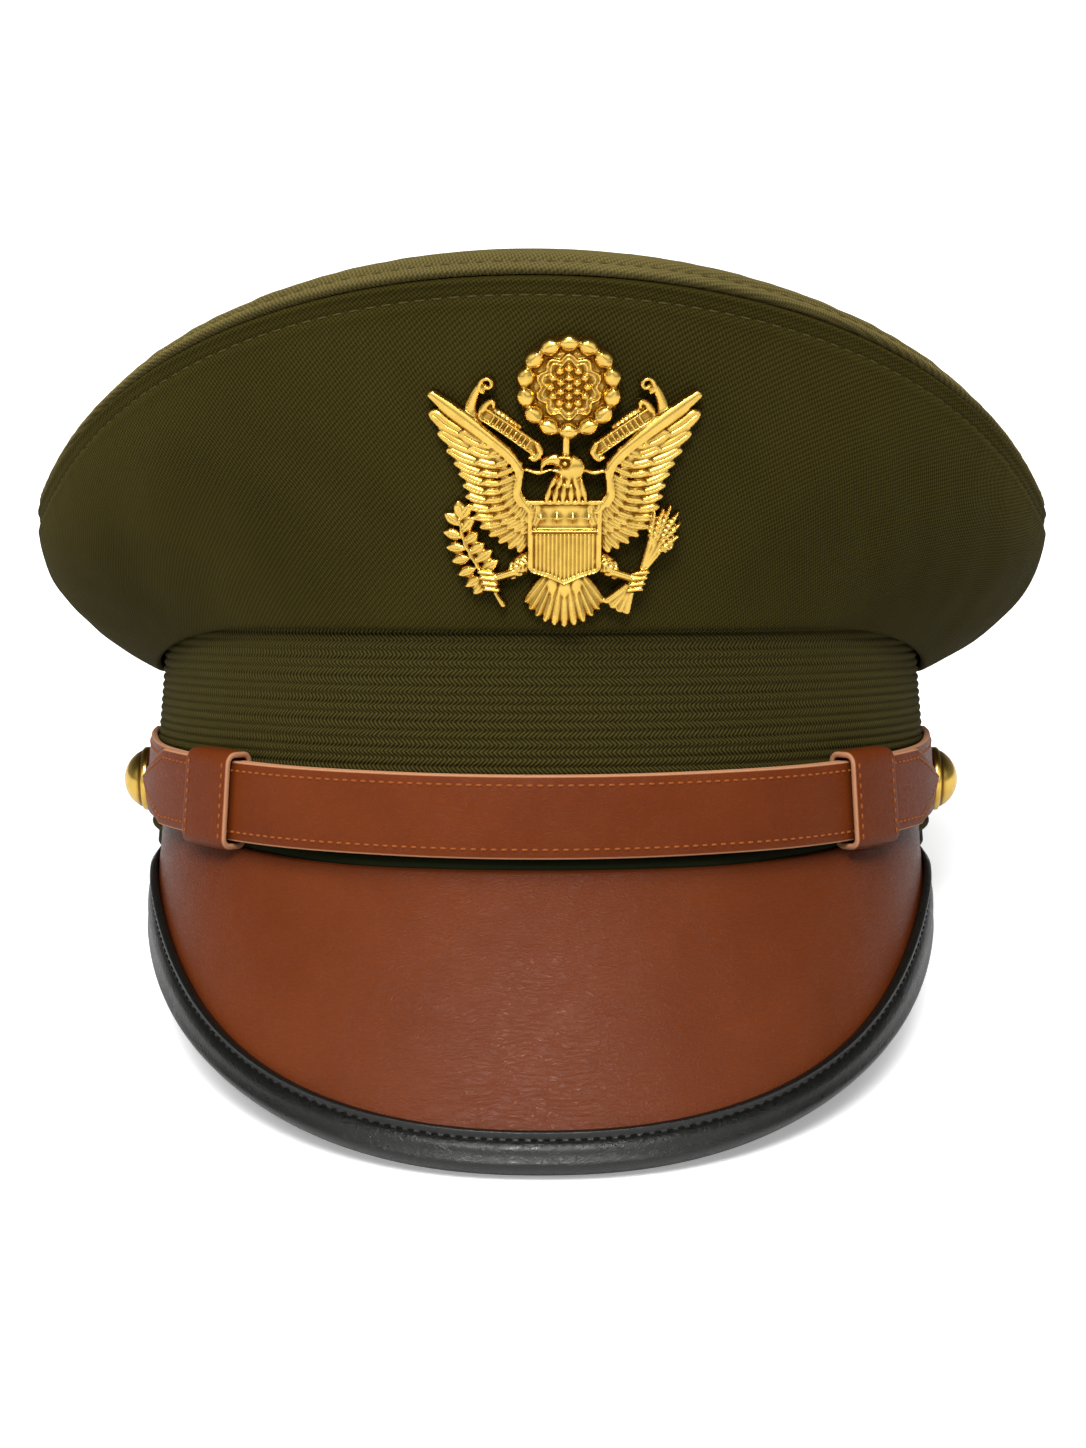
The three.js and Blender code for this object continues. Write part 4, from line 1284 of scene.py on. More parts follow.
@dataclass(frozen=True)
class Peak:
    """The leather peak and the black binding sewn round its edge."""

    oval: HeadOval = HeadOval()
    thickness: float = 2.6
    half_width: float = 85.2
    reach: float = 134.5
    root: float = 15.0
    drop: float = 48.9
    end_drop: float = 0.3
    squareness: float = 2.27
    crown: float = 2.5
    sweep: float = 75.0
    seat_front: float = 3.4
    seat_end: float = 0.4
    binding_width: float = 7.4
    binding_wall: float = 1.2
    binding_room: float = 0.45
    stitch_back: float = 1.75
    stitch_height: float = 2.63
    sewing: Sewing = Sewing(2.3, 1.7, 0.42, 0.22, 0.12)
    sections: int = 260

    @staticmethod
    def thin(along: Array) -> Array:
        """Return the share of the thickness: 1, and down to 0.4 at both ends."""
        return 1 - 0.6 * smoothstep(np.abs(along), 0.8, 1.0)

    @property
    def edge(self) -> float:
        """How far inside the binding's line the leather ends."""
        return self.oval.clearance + self.binding_wall

    @property
    def flap(self) -> float:
        """How much of the binding's width lies on the leather."""
        return self.binding_width - self.edge

    def along(self) -> Array:
        """Return the sections' places, -1..1, closer together towards the ends."""
        even = np.linspace(-1, 1, self.sections)
        return (even + np.sin(np.pi / 2 * even)) / 2

    def surface(self, along: Array, across: Array) -> Array:
        """Work out the peak's middle surface.

        It runs straight from the sewn edge, on the head oval, to the binding's line, which is a
        superellipse in plan that drops towards the front. Between them it bulges out by
        4 crown t (1 - t) cos(90 deg along).

        Args:
            along: place from one end to the other, -1..1, as (n, 1).
            across: place from the sewn edge to the line, 0..1, as (n, m).

        Returns:
            The points, as (n, m, 3).
        """
        bearing = np.radians(self.sweep) * along
        seat = lerp(self.seat_front, self.seat_end, along**4) - self.thickness / 2
        dive = 2.3 * smoothstep(np.abs(along), 0.8, 1.0)
        level = self.oval.welt_foot(bearing) + 0.2 - dive
        sewn = self.oval.point(bearing, self.oval.face(0) + seat, level)
        turn = np.pi / 2 * along
        power = 2 / self.squareness
        forward = np.maximum(0, np.cos(turn)) ** power
        half = self.half_width * np.abs(np.sin(turn)) ** power - 3.6 * smoothstep(np.abs(along), 0.85, 1.0)
        line = np.stack(
            [
                np.sign(along) * half,
                -lerp(self.root, self.reach, forward),
                -lerp(self.end_drop, self.drop, forward),
            ],
            axis=-1,
        )
        bulge = self.crown * 4 * across * (1 - across) * np.cos(turn)
        outward = unit(np.stack([np.sin(bearing), -np.cos(bearing), np.ones_like(bearing)], axis=-1))
        return lerp(sewn, line, across[..., None]) + outward * bulge[..., None]

    def normal(self, along: Array, across: Array) -> Array:
        """Return the outward normal: the step across, crossed with the step along."""
        nudge = 0.004
        ahead = self.surface(np.minimum(along + nudge, 1), across)
        behind = self.surface(np.maximum(along - nudge, -1), across)
        out = self.surface(along, across) - self.surface(along, across - 0.01)
        return unit(np.cross(out, ahead - behind))

    def span(self, along: Array) -> Array:
        """Return the distance from the sewn edge to the binding's line."""
        ends = self.surface(along, np.array([[0.0, 1.0]]) * np.ones_like(along))
        return np.linalg.norm(ends[:, 1] - ends[:, 0], axis=-1)[:, None]

    def leather_shell(self) -> Shell:
        """Make the leather: both faces of the middle surface, half the thickness off it."""
        along = self.along()[:, None]
        span = self.span(along)
        end = 1 - self.edge / span
        top = np.linspace(0, 1, 56)
        under = np.linspace(1, 0, 18)
        half = self.thickness / 2
        shares = np.concatenate([top, under])[None, :] * end
        lift = np.concatenate([np.full(56, half), np.full(18, -half)])
        points = self.surface(along, shares)
        wavy = 0.12 * ripple(points[:, :56, 0] + 0.4 * points[:, :56, 1], 44.0, 1.0)
        height = np.broadcast_to(lift, shares.shape).copy()
        height[:, :56] += wavy * np.sin(np.pi * top) ** 0.5
        points = points + self.normal(along, shares) * (height * self.thin(along))[..., None]
        girth = run_lengths(self.surface(along, np.full_like(along, 0.6))[:, 0])
        girth = girth - girth.mean()
        runs = np.concatenate([shares * span, (shares[:, :1]) * span - 4], axis=1)
        uv = np.stack([np.broadcast_to(girth[:, None], runs.shape), runs], axis=-1)
        # Painted shade: the shade mask darkens the leather towards both ends, along the edge sewn under the welt, and
        # over all its underside.
        ends = smoothstep(np.abs(along), 0.55, 1.0) * np.ones_like(shares)
        sewn = bell(shares * span, 0.0, 3.0)
        under_mask = np.broadcast_to(lift < 0, shares.shape) * 0.85
        shade = np.clip(0.55 * ends + 0.6 * sewn + under_mask, 0, 1)
        return self.with_ends(points, uv, {"shade": shade})

    @staticmethod
    def with_ends(points: Array, uv: Array, masks: dict[str, Array]) -> Shell:
        """Close a row of closed sections with a fan to the middle of the first and the last.

        Args:
            points: the sections, as (sections, points, 3).
            uv: their UVs, with one more column.
            masks: their masks.

        Returns:
            The closed shell.
        """
        first, last = points[:1].mean(axis=1, keepdims=True), points[-1:].mean(axis=1, keepdims=True)
        count = points.shape[1]
        caps = [np.repeat(p, count, axis=1) for p in (first, last)]
        points = np.concatenate([caps[0], points, caps[1]])
        uv = np.concatenate([uv[:1], uv, uv[-1:]])
        masks = {k: np.concatenate([m[:1], m, m[-1:]]).T for k, m in masks.items()}
        turned = np.swapaxes(points, 0, 1)
        return grid_shell(turned, np.swapaxes(uv, 0, 1), close_u=True, poles=(True, True), masks=masks)

    def binding_section(self) -> tuple[Array, Array]:
        """Draw the binding's section, from its upper hem round the edge to its lower hem.

        The height over the middle surface has a small raised cord at the hem, a furrow for the
        stitching and a soft roll, and the end is half an ellipse.

        Returns:
            Places as columns of millimetres behind and ahead of the leather's edge, and heights.
        """
        inside = self.thickness / 2 + self.binding_room
        outside = inside + self.binding_wall
        back = np.linspace(0, self.flap, 26)
        cord = 0.45 * bell(back, 0.65, 0.5) - 0.5 * bell(back, 0.0, 0.25)
        furrow = -0.32 * bell(back, self.stitch_back, 0.42)
        roll = 0.28 * bell(back, 3.4, 1.0)
        turn = np.linspace(np.pi / 2, -np.pi / 2, 15)[1:-1]
        nose = self.edge * np.cos(turn)
        lining = np.linspace(0, self.flap, 5)

        def behind(distance: Array) -> Array:
            """Return the columns of places that far from the hem."""
            return np.stack([distance - self.flap, np.zeros_like(distance)], axis=-1)

        columns = [
            behind(back),
            np.stack([np.zeros_like(nose), nose], axis=-1),
            behind(np.linspace(self.flap, 0, 8)),
            behind(lining),
            np.full((2, 2), (0, self.oval.clearance)),
            behind(lining[::-1]),
        ]
        heights = [
            outside + cord + furrow + roll,
            outside * np.sin(turn),
            np.full(8, -outside),
            np.full(5, -inside),
            [-inside * 0.6, inside * 0.6],
            np.full(5, inside),
        ]
        return np.concatenate(columns), np.concatenate(heights)

    def on_binding(self, along: Array, columns: Array, heights: Array) -> tuple[Array, Array]:
        """Place section points of the binding.

        Args:
            along: sections, as (n, 1).
            columns: millimetres behind and ahead of the leather's edge, as (m, 2).
            heights: heights over the middle surface, as (m,) or (n, m).

        Returns:
            The points and the normals of the middle surface there.
        """
        span = self.span(along)
        wide = 1 + 0.75 * bell(np.abs(along), 0.78, 0.24)
        share = np.minimum(wide, span / 2 / self.flap)
        out = columns[None, :, 0] * share + columns[None, :, 1]
        across = 1 + (out - self.edge) / span
        inside = np.minimum(across, 1.0)
        points, normals = self.surface(along, inside), self.normal(along, inside)
        rim, back = self.surface(along, np.ones_like(along)), self.surface(along, np.full_like(along, 0.995))
        beyond = unit(rim - back) * (np.maximum(across - 1, 0) * span)[..., None]
        lifts = np.broadcast_to(heights, across.shape) * self.thin(along)
        return points + beyond + normals * lifts[..., None], normals

    def binding_shells(self) -> tuple[Shell, Shell]:
        """Make the binding and its row of stitching.

        Returns:
            The binding and the stitches.
        """
        along = self.along()[:, None]
        columns, heights = self.binding_section()
        points, _ = self.on_binding(along, columns, heights)
        girth = run_lengths(self.surface(along, np.ones_like(along))[:, 0])
        runs = run_lengths(np.swapaxes(points[130:131], 0, 1), closed=True)[:, 0]
        uv = plain_uv(girth[:, None], runs[None, :])
        binding = self.with_ends(points, uv, {})
        seat = np.array([[self.stitch_back - self.flap, 0.0]])
        line, normals = self.on_binding(along, seat, np.array([self.stitch_height]))
        row = stitch_line(line[6:-6, 0], normals[6:-6, 0], self.sewing)
        return binding, row

    def build(self, room: Workroom, palette: Palette) -> None:
        """Make the peak's pieces.

        Args:
            room: makes pieces.
            palette: hands out finishes.
        """
        binding, row = self.binding_shells()
        room.piece(
            "peak_leather", self.leather_shell(), palette[Finish.RUSSET], ["peak"]
        )
        room.piece("edge_binding", binding, palette[Finish.BINDING], ["peak_binding"])
        room.piece("binding_stitching", row, palette[Finish.BLACK_THREAD])


@dataclass(frozen=True)
class Straps:
    """The chin strap, the strap under it, and the two keepers that hold them together."""

    oval: HeadOval = HeadOval()
    width: float = 16.2
    height: float = 14.0
    rise: float = 4.0
    wall: float = 1.6
    under_wall: float = 1.4
    tip: float = 70.0
    point: float = 11.5
    button_bearing: float = 88.0
    keeper_bearing: float = 45.4
    keeper_width: float = 14.8
    keeper_wall: float = 1.3
    keeper_room: float = 0.6
    stitch_inset: float = 1.9
    sewing: Sewing = Sewing(2.0, 1.45, 0.5, 0.26, 0.06)
    keeper_sewing: Sewing = Sewing(2.0, 1.45, 0.5, 0.26, 0.08)

    def middle(self, bearing: Array) -> Array:
        """Return the height of the straps' middle line: height + rise (1 - cos b)."""
        return self.height + self.rise * (1 - np.cos(bearing))

    def stand_off(self, bearing: Array) -> Array:
        """Return the gap behind the straps, wider where the keepers pass behind them."""
        angle = np.degrees(np.abs(bearing))
        under = self.keeper_wall + self.oval.clearance
        return self.oval.clearance + under * smoothstep(angle, 18, 36) * (1 - smoothstep(angle, 60, 78))

    def on_strap(self, bearing: Array, up: Array, depth: Array) -> Array:
        """Return points at a height over the middle line and a depth over the braid."""
        z = self.middle(bearing) + up
        return self.oval.point(bearing, self.oval.braid(z) + self.stand_off(bearing) + depth, z)

    def strap_shell(self, bearing: Array, half: Array, near: float, far: float, dome: float) -> Shell:
        """Carry a rounded strap section round the front.

        The section is a rectangle with corners rounded by 0.42 mm, whose outer face is raised by
        dome (1 - k^4) with k across it. It narrows to a point at both ends.

        Args:
            bearing: bearings along the strap, in radians.
            half: the strap's half width at each bearing.
            near: the depth of its inner face.
            far: the depth of its outer face.
            dome: how far the outer face is raised.

        Returns:
            The strap, whose mask raw_edge marks its cut edges.
        """
        corner, flat = 0.42, 17
        turn = np.radians([0, 30, 60, 90])
        cut, sunk = corner * (1 - np.cos(turn)), corner * (1 - np.sin(turn))
        share = np.concatenate([np.ones(4), np.linspace(1, -1, flat + 2)[1:-1], -np.ones(8), np.ones(4)])
        inset = np.concatenate([cut, np.full(flat, corner), cut[::-1], cut, cut[::-1]])
        low = np.concatenate(
            [far - sunk, np.full(flat, far), far - sunk[::-1], near + sunk, near + sunk[::-1]]
        )
        raised = dome * (1 - share**4) * (low > near + (far - near) / 2)
        raw = (inset < corner * 0.9).astype(float)
        reach = np.maximum(half[None, :] - inset[:, None], 0.05)
        up = share[:, None] * reach
        depth = low[:, None] + raised[:, None]
        points = self.on_strap(bearing[None, :], up, depth * np.ones_like(up))
        girth = run_lengths(self.on_strap(bearing, np.zeros_like(bearing), np.full_like(bearing, far)))
        runs = run_lengths(points[:, [len(bearing) // 2]], closed=True)[:, 0]
        uv = plain_uv(girth[None, :] - girth.mean(), runs[:, None])
        ends = points.mean(axis=0)
        caps = [np.repeat(end, len(share), 0) for end in (ends[None, :1], ends[None, -1:])]
        points = np.concatenate([caps[0], points, caps[1]], axis=1)
        uv = np.concatenate([uv[:, :1], uv, uv[:, -1:]], axis=1)
        masks = {"raw_edge": np.repeat(raw[:, None], points.shape[1], axis=1)}
        masks["raw_edge"][:, [0, -1]] = 1.0
        return grid_shell(points, uv, close_u=True, poles=(True, True), masks=masks)

    def tip_half(self, bearing: Array) -> Array:
        """Return the chin strap's half width: full, then straight down to the tip."""
        angle = np.degrees(np.abs(bearing))
        return self.width / 2 * np.minimum(1, (self.tip - angle) / self.point + 0.03)

    def end_half(self, bearing: Array) -> Array:
        """Return the under strap's half width: full, then round about the button."""
        ends = self.round_end()
        angle = np.degrees(np.abs(bearing))
        past = np.clip((angle - self.button_bearing) / (ends - self.button_bearing), 0, 1)
        return self.width / 2 * np.sqrt(np.maximum(1 - past**2, 0.0004))

    def round_end(self) -> float:
        """Return the bearing at which the under strap's round end stops."""
        radius = self.oval.length / 2 + float(self.oval.braid(0.0))
        return self.button_bearing + math.degrees(self.width / 2 / radius)

    def stitches(self, bearing: Array, up: Array, depth: float) -> Shell:
        """Sew a row along the strap at a height over its middle line.

        Args:
            bearing: bearings of the line.
            up: heights of the line over the strap's middle line.
            depth: the depth of the strap's face.

        Returns:
            The stitches.
        """
        line = self.on_strap(bearing, up, np.full_like(bearing, depth))
        normals = np.stack([np.sin(bearing), -np.cos(bearing), np.zeros_like(bearing)], axis=-1)
        return stitch_line(line, normals, self.sewing)

    def chin_shells(self) -> tuple[Shell, Shell]:
        """Make the chin strap and the stitching inside its edges.

        Returns:
            The strap and its stitches.
        """
        near = self.under_wall + self.oval.clearance
        far = near + self.wall
        tip = math.radians(self.tip)
        bearing = tip * np.sin(np.linspace(-1, 1, 260) * np.pi / 2 * 0.82) / math.sin(np.pi / 2 * 0.82)
        strap = self.strap_shell(bearing, self.tip_half(bearing), near, far, 0.22)
        row = np.linspace(-tip, tip, 500)
        half = self.tip_half(row) - self.stitch_inset
        kept = half > 0.115 * self.stitch_inset
        rows = [self.stitches(row[kept], side * half[kept], far + 0.12) for side in (-1, 1)]
        return strap, Shell.joined(rows)

    def under_shells(self) -> tuple[Shell, Shell]:
        """Make the strap under the chin strap, out to the buttons, and its stitching.

        Returns:
            The strap and the stitches that show beyond the chin strap.
        """
        end = math.radians(self.round_end())
        bearing = end * np.sin(np.linspace(-1, 1, 260) * np.pi / 2 * 0.92) / math.sin(np.pi / 2 * 0.92)
        strap = self.strap_shell(bearing, self.end_half(bearing), 0.0, self.under_wall, 0.08)
        shown = np.linspace(math.radians(61.5), math.radians(self.button_bearing), 90)
        half = self.end_half(shown) - self.stitch_inset
        rows = [
            self.stitches(side * shown, level * half, self.under_wall)
            for side in (-1, 1)
            for level in (-1, 1)
        ]
        return strap, Shell.joined(rows)

    def keeper_shells(self, side: int) -> tuple[Shell, Shell]:
        """Make a keeper, a flat leather loop round both straps, and its stitching.

        Round the loop it is a rounded rectangle, and its wall's section is a flat strip with
        rounded edges.

        Args:
            side: -1 for the left of the picture, 1 for the right.

        Returns:
            The keeper and its stitches.
        """
        near = -self.oval.clearance
        far = self.under_wall + 2 * self.oval.clearance + self.wall + self.keeper_room
        high = self.width / 2 + self.keeper_room
        corner = 1.1
        turn = np.radians(np.linspace([0, 90, 180, 270], [90, 180, 270, 360], 6).T.ravel())
        level = np.repeat((high - corner) * np.array([1, -1, -1, 1]), 6)
        layer = np.repeat([far - corner, far - corner, near + corner, near + corner], 6)
        fill = [self.filled(values) for values in (level, layer, np.cos(turn), np.sin(turn))]
        half = self.keeper_width / 2
        soft = 0.5
        turn = np.radians(np.linspace(-90, 90, 6))
        wide = np.concatenate([
            np.linspace(-half + soft, half - soft, 11),
            half - soft + soft * np.cos(turn[1:-1]),
            np.linspace(half - soft, -half + soft, 7),
            -half + soft - soft * np.cos(turn[1:-1]),
        ])
        wall = self.keeper_wall
        high_wall = wall + 0.14 * (1 - np.linspace(-1, 1, 11) ** 4)
        thick = np.concatenate([
            high_wall,
            wall / 2 * (1 - np.sin(turn[1:-1])),
            np.zeros(7),
            wall / 2 * (1 + np.sin(turn[1:-1])),
        ])
        radius = self.oval.length / 2
        bearing = side * math.radians(self.keeper_bearing) + wide[None, :] / radius
        loop_up = fill[0][:, None] + fill[2][:, None] * (corner + thick[None, :])
        loop_depth = fill[1][:, None] + fill[3][:, None] * (corner + thick[None, :])
        points = self.on_strap(bearing, loop_up, loop_depth)
        run_u = run_lengths(points[:, :1], closed=True)[:, 0]
        run_v = run_lengths(np.swapaxes(points[:1], 0, 1), closed=True)[:, 0]
        raw = np.concatenate([np.zeros(11), np.ones(4), np.zeros(7), np.ones(4)])
        masks = {"raw_edge": np.repeat(raw[None, :], len(points), axis=0)}
        keeper = grid_shell(points, plain_uv(run_u[:, None], run_v[None, :]), True, True, masks=masks)
        level = np.linspace(-high + 0.5, high - 0.5, 40)
        rows = []
        for inset in (-half + 1.5, half - 1.5):
            place = np.full(40, side * math.radians(self.keeper_bearing) + inset / radius)
            line = self.on_strap(place, level, np.full(40, far + wall))
            normals = np.stack([np.sin(place), -np.cos(place), np.zeros(40)], axis=-1)
            rows.append(stitch_line(line, normals, self.keeper_sewing))
        return keeper, Shell.joined(rows)

    @staticmethod
    def filled(values: Array) -> Array:
        """Add points between each corner and the next, straight along the sides of a loop.

        Args:
            values: one coordinate of the 24 corner points, six to a corner.

        Returns:
            The coordinate with 8 points more on each long side and 4 on each short one.
        """
        extra = np.concatenate([
            np.append(first + np.arange(6), first + 5 + np.arange(1, more + 1) / (more + 1))
            for first, more in ((0, 8), (6, 4), (12, 8), (18, 4))
        ])
        return np.interp(extra, np.arange(25), np.append(values, values[0]))

    def build(self, room: Workroom, palette: Palette) -> None:
        """Make the straps' pieces.

        Args:
            room: makes pieces.
            palette: hands out finishes.
        """
        leather, thread = palette[Finish.STRAP], palette[Finish.TAN_THREAD]
        strap, rows = self.chin_shells()
        under, under_rows = self.under_shells()
        room.piece("chin_strap_leather", strap, leather, ["chin_strap"])
        room.piece("under_strap_leather", under, leather, ["under_strap"])
        every = [rows, under_rows]
        for name, side in (("left", -1), ("right", 1)):
            keeper, keeper_rows = self.keeper_shells(side)
            room.piece(f"keeper_{name}_leather", keeper, leather, [f"keeper_{name}"])
            every.append(keeper_rows)
        room.piece("strap_stitching", Shell.joined(every), thread)


@dataclass(frozen=True)
class Buttons:
    """The two domed side buttons."""

    straps: Straps = Straps()
    radius: float = 7.5
    dome: float = 6.2
    level: float = 13.5

    def shell(self, side: int) -> Shell:
        """Turn a button's profile about its axis.

        The profile is a flat back, a rolled rim, a small furrow and a dome that rises by
        dome (1 - r^2) to the power 0.62 over the rim.

        Args:
            side: -1 for the left of the picture, 1 for the right.

        Returns:
            The button, whose recess mask paints shade on its back and in its furrow.
        """
        oval, bearing = self.straps.oval, side * math.radians(self.straps.button_bearing)
        back = np.array([0.0, 0.35, 0.7, 0.95])
        turn = np.radians(np.linspace(-60, 60, 7))
        share = np.linspace(0.9, 0, 22)
        radii = np.concatenate([back, 0.955 + 0.045 * np.cos(turn), share]) * self.radius
        heights = np.concatenate(
            [
                np.zeros(4),
                0.75 + 0.75 * np.sin(turn) * 1.1,
                0.9 + (self.dome - 0.9) * (1 - (share / 0.93) ** 2) ** 0.62,
            ]
        )
        # Painted shade on the flat back and in the furrow round the dome.
        recess = np.concatenate([np.ones(4), np.zeros(7), bell(share, 0.9, 0.035)])
        angle = np.linspace(0, 2 * np.pi, 64, endpoint=False)
        z = self.level
        seat = oval.point(bearing, oval.braid(z) + self.straps.stand_off(np.array(bearing)) + 1.7, z)
        out = np.array([math.sin(bearing), -math.cos(bearing), 0.0])
        tangent, up = np.array([math.cos(bearing), math.sin(bearing), 0.0]), np.array([0, 0, 1.0])
        ring = np.cos(angle)[:, None] * tangent + np.sin(angle)[:, None] * up
        points = seat + ring[:, None, :] * radii[None, :, None] + out * heights[None, :, None]
        run = run_lengths(np.stack([radii, heights], axis=-1))
        uv = plain_uv(np.linspace(0, 2 * np.pi, 65)[:, None] * self.radius, run[None, :])
        masks = {"recess": np.repeat(recess[None, :], 64, axis=0)}
        return grid_shell(points, uv, close_u=True, poles=(True, True), flip=True, masks=masks)

    def build(self, room: Workroom, palette: Palette) -> None:
        """Make both buttons.

        Args:
            room: makes pieces.
            palette: hands out finishes.
        """
        for name, side in (("left", -1), ("right", 1)):
            room.piece(
                f"button_{name}_dome", self.shell(side), palette[Finish.GILT],
                [f"button_{name}"]
            )


@dataclass(frozen=True)
class Relief:
    """A raised picture on a grid: how far each place lies inside the outline, and its height."""

    u: Array
    v: Array
    inside: Array
    height: Array

    @classmethod
    def blank(cls, low: tuple[float, float], high: tuple[float, float], pitch: float) -> "Relief":
        """Start an empty relief between two corners, with its places a pitch apart."""
        u, v = np.meshgrid(
            np.arange(low[0], high[0], pitch), np.arange(low[1], high[1], pitch), indexing="ij"
        )
        return cls(u, v, np.full(u.shape, -9.0), np.zeros(u.shape))

    def window(self, low: Array, high: Array) -> tuple[slice, slice]:
        """Return the slices of the grid that hold a box."""
        pitch = self.u[1, 0] - self.u[0, 0]
        first = np.floor((low - (self.u[0, 0], self.v[0, 0])) / pitch).astype(int) - 2
        last = np.ceil((high - (self.u[0, 0], self.v[0, 0])) / pitch).astype(int) + 3
        first, last = np.maximum(first, 0), np.maximum(last, 0)
        return slice(int(first[0]), int(last[0])), slice(int(first[1]), int(last[1]))

    def lay(self, area: tuple[slice, slice], inside: Array, height: Array) -> None:
        """Raise the relief to a height wherever a form lies, and widen the outline by it."""
        self.inside[area] = np.maximum(self.inside[area], inside)
        self.height[area] = np.where(inside > 0, np.maximum(self.height[area], height), self.height[area])

    def stroke(
        self,
        path: Sequence[tuple[float, float]],
        radii: Sequence[float] | float,
        lift: float,
        rise: float,
        shaft: float = 0.0,
        notch: float = 0.0,
        flat: bool = False,
    ) -> None:
        """Lay a rounded stroke along a path.

        The path is smoothed into a curve through its points. With d the distance inside the
        stroke's edge and r its radius, the height is lift + rise sqrt(1 - (1 - d/r)^2). A shaft
        is a fine ridge along the middle, and notches cross the stroke slantwise.

        Args:
            path: points that the stroke runs through.
            radii: its radius, or one radius for each point.
            lift: its height at its edge.
            rise: how far its middle stands over its edge.
            shaft: the height of the ridge along its middle.
            notch: the depth of its slanting notches.
            flat: whether it is a flat band with raised borders.
        """
        points = np.array(path, float)
        widths = np.broadcast_to(np.array(radii, float), len(points)).astype(float)
        if len(points) == 1:
            points, widths = np.concatenate([points, points + (0.001, 0)]), np.tile(widths, 2)
        if len(points) > 2:
            points, widths = self.smoothed(points, widths)
        area = self.window((points - widths.max()).min(0), (points + widths.max()).max(0))
        u, v = self.u[area], self.v[area]
        best = np.full(u.shape, -9.0)
        along, across, radius = np.zeros(u.shape), np.zeros(u.shape), np.ones(u.shape)
        runs = run_lengths(points)
        for i in range(len(points) - 1):
            step = points[i + 1] - points[i]
            share = np.clip(
                ((u - points[i, 0]) * step[0] + (v - points[i, 1]) * step[1]) / (step @ step), 0, 1
            )
            du, dv = u - points[i, 0] - share * step[0], v - points[i, 1] - share * step[1]
            away = np.hypot(du, dv)
            here = lerp(widths[i], widths[i + 1], share)
            better = here - away > best
            best = np.where(better, here - away, best)
            radius = np.where(better, here, radius)
            across = np.where(better, away * np.sign(du * step[1] - dv * step[0]), across)
            along = np.where(better, runs[i] + share * (runs[i + 1] - runs[i]), along)
        depth = np.clip(best / np.maximum(radius, 1e-6), 0, 1)
        if flat:
            border = bell(best, 0.42, 0.26)
            height = lift + rise * (0.45 + 0.55 * border) * smoothstep(best, 0, 0.2)
        else:
            height = lift + rise * np.sqrt(1 - (1 - depth) ** 2)
        height = height + shaft * bell(across, 0, 0.16) * depth
        slanted = (along - 0.8 * np.abs(across)) * 2 * np.pi / 0.95
        height = height - notch * (0.5 + 0.5 * np.cos(slanted)) * (1 - bell(across, 0, 0.2))
        self.lay(area, best, height)

    def engrave(self, middle: tuple[float, float], radius: float, width: float, depth: float) -> None:
        """Cut a ring: the height falls by depth exp(-((r - radius) / width)^2)."""
        away = np.hypot(self.u - middle[0], self.v - middle[1])
        self.height[...] -= depth * bell(away, radius, width)

    @staticmethod
    def smoothed(points: Array, widths: Array) -> tuple[Array, Array]:
        """Run a Catmull-Rom curve through the points, four steps to each span."""
        both = np.concatenate([points, widths[:, None]], axis=1)
        ends = np.concatenate([2 * both[:1] - both[1:2], both, 2 * both[-1:] - both[-2:-1]])
        t = np.linspace(0, 1, 5)[:-1, None]
        spans = [
            0.5 * (
                2 * b + (c - a) * t + (2 * a - 5 * b + 4 * c - d) * t**2 + (3 * b - a - 3 * c + d) * t**3
            )
            for a, b, c, d in zip(ends, ends[1:], ends[2:], ends[3:])
        ]
        curve = np.concatenate([*spans, both[-1:]])
        return curve[:, :2], np.maximum(curve[:, 2], 0.05)

    def polygon(self, outline: Sequence[tuple[float, float]]) -> tuple[tuple[slice, slice], Array]:
        """Return the part of the grid round a polygon, and each place's depth inside it."""
        points = np.array(outline, float)
        area = self.window(points.min(0), points.max(0))
        u, v = self.u[area], self.v[area]
        away, within = np.full(u.shape, 99.0), np.zeros(u.shape, bool)
        for a, b in zip(points, np.roll(points, -1, 0)):
            step = b - a
            share = np.clip(((u - a[0]) * step[0] + (v - a[1]) * step[1]) / (step @ step), 0, 1)
            away = np.minimum(away, np.hypot(u - a[0] - share * step[0], v - a[1] - share * step[1]))
            crosses = (a[1] > v) != (b[1] > v)
            at = a[0] + (v - a[1]) / (b[1] - a[1] if b[1] != a[1] else 1.0) * step[0]
            within ^= crosses & (u < at)
        return area, np.where(within, away, -away)


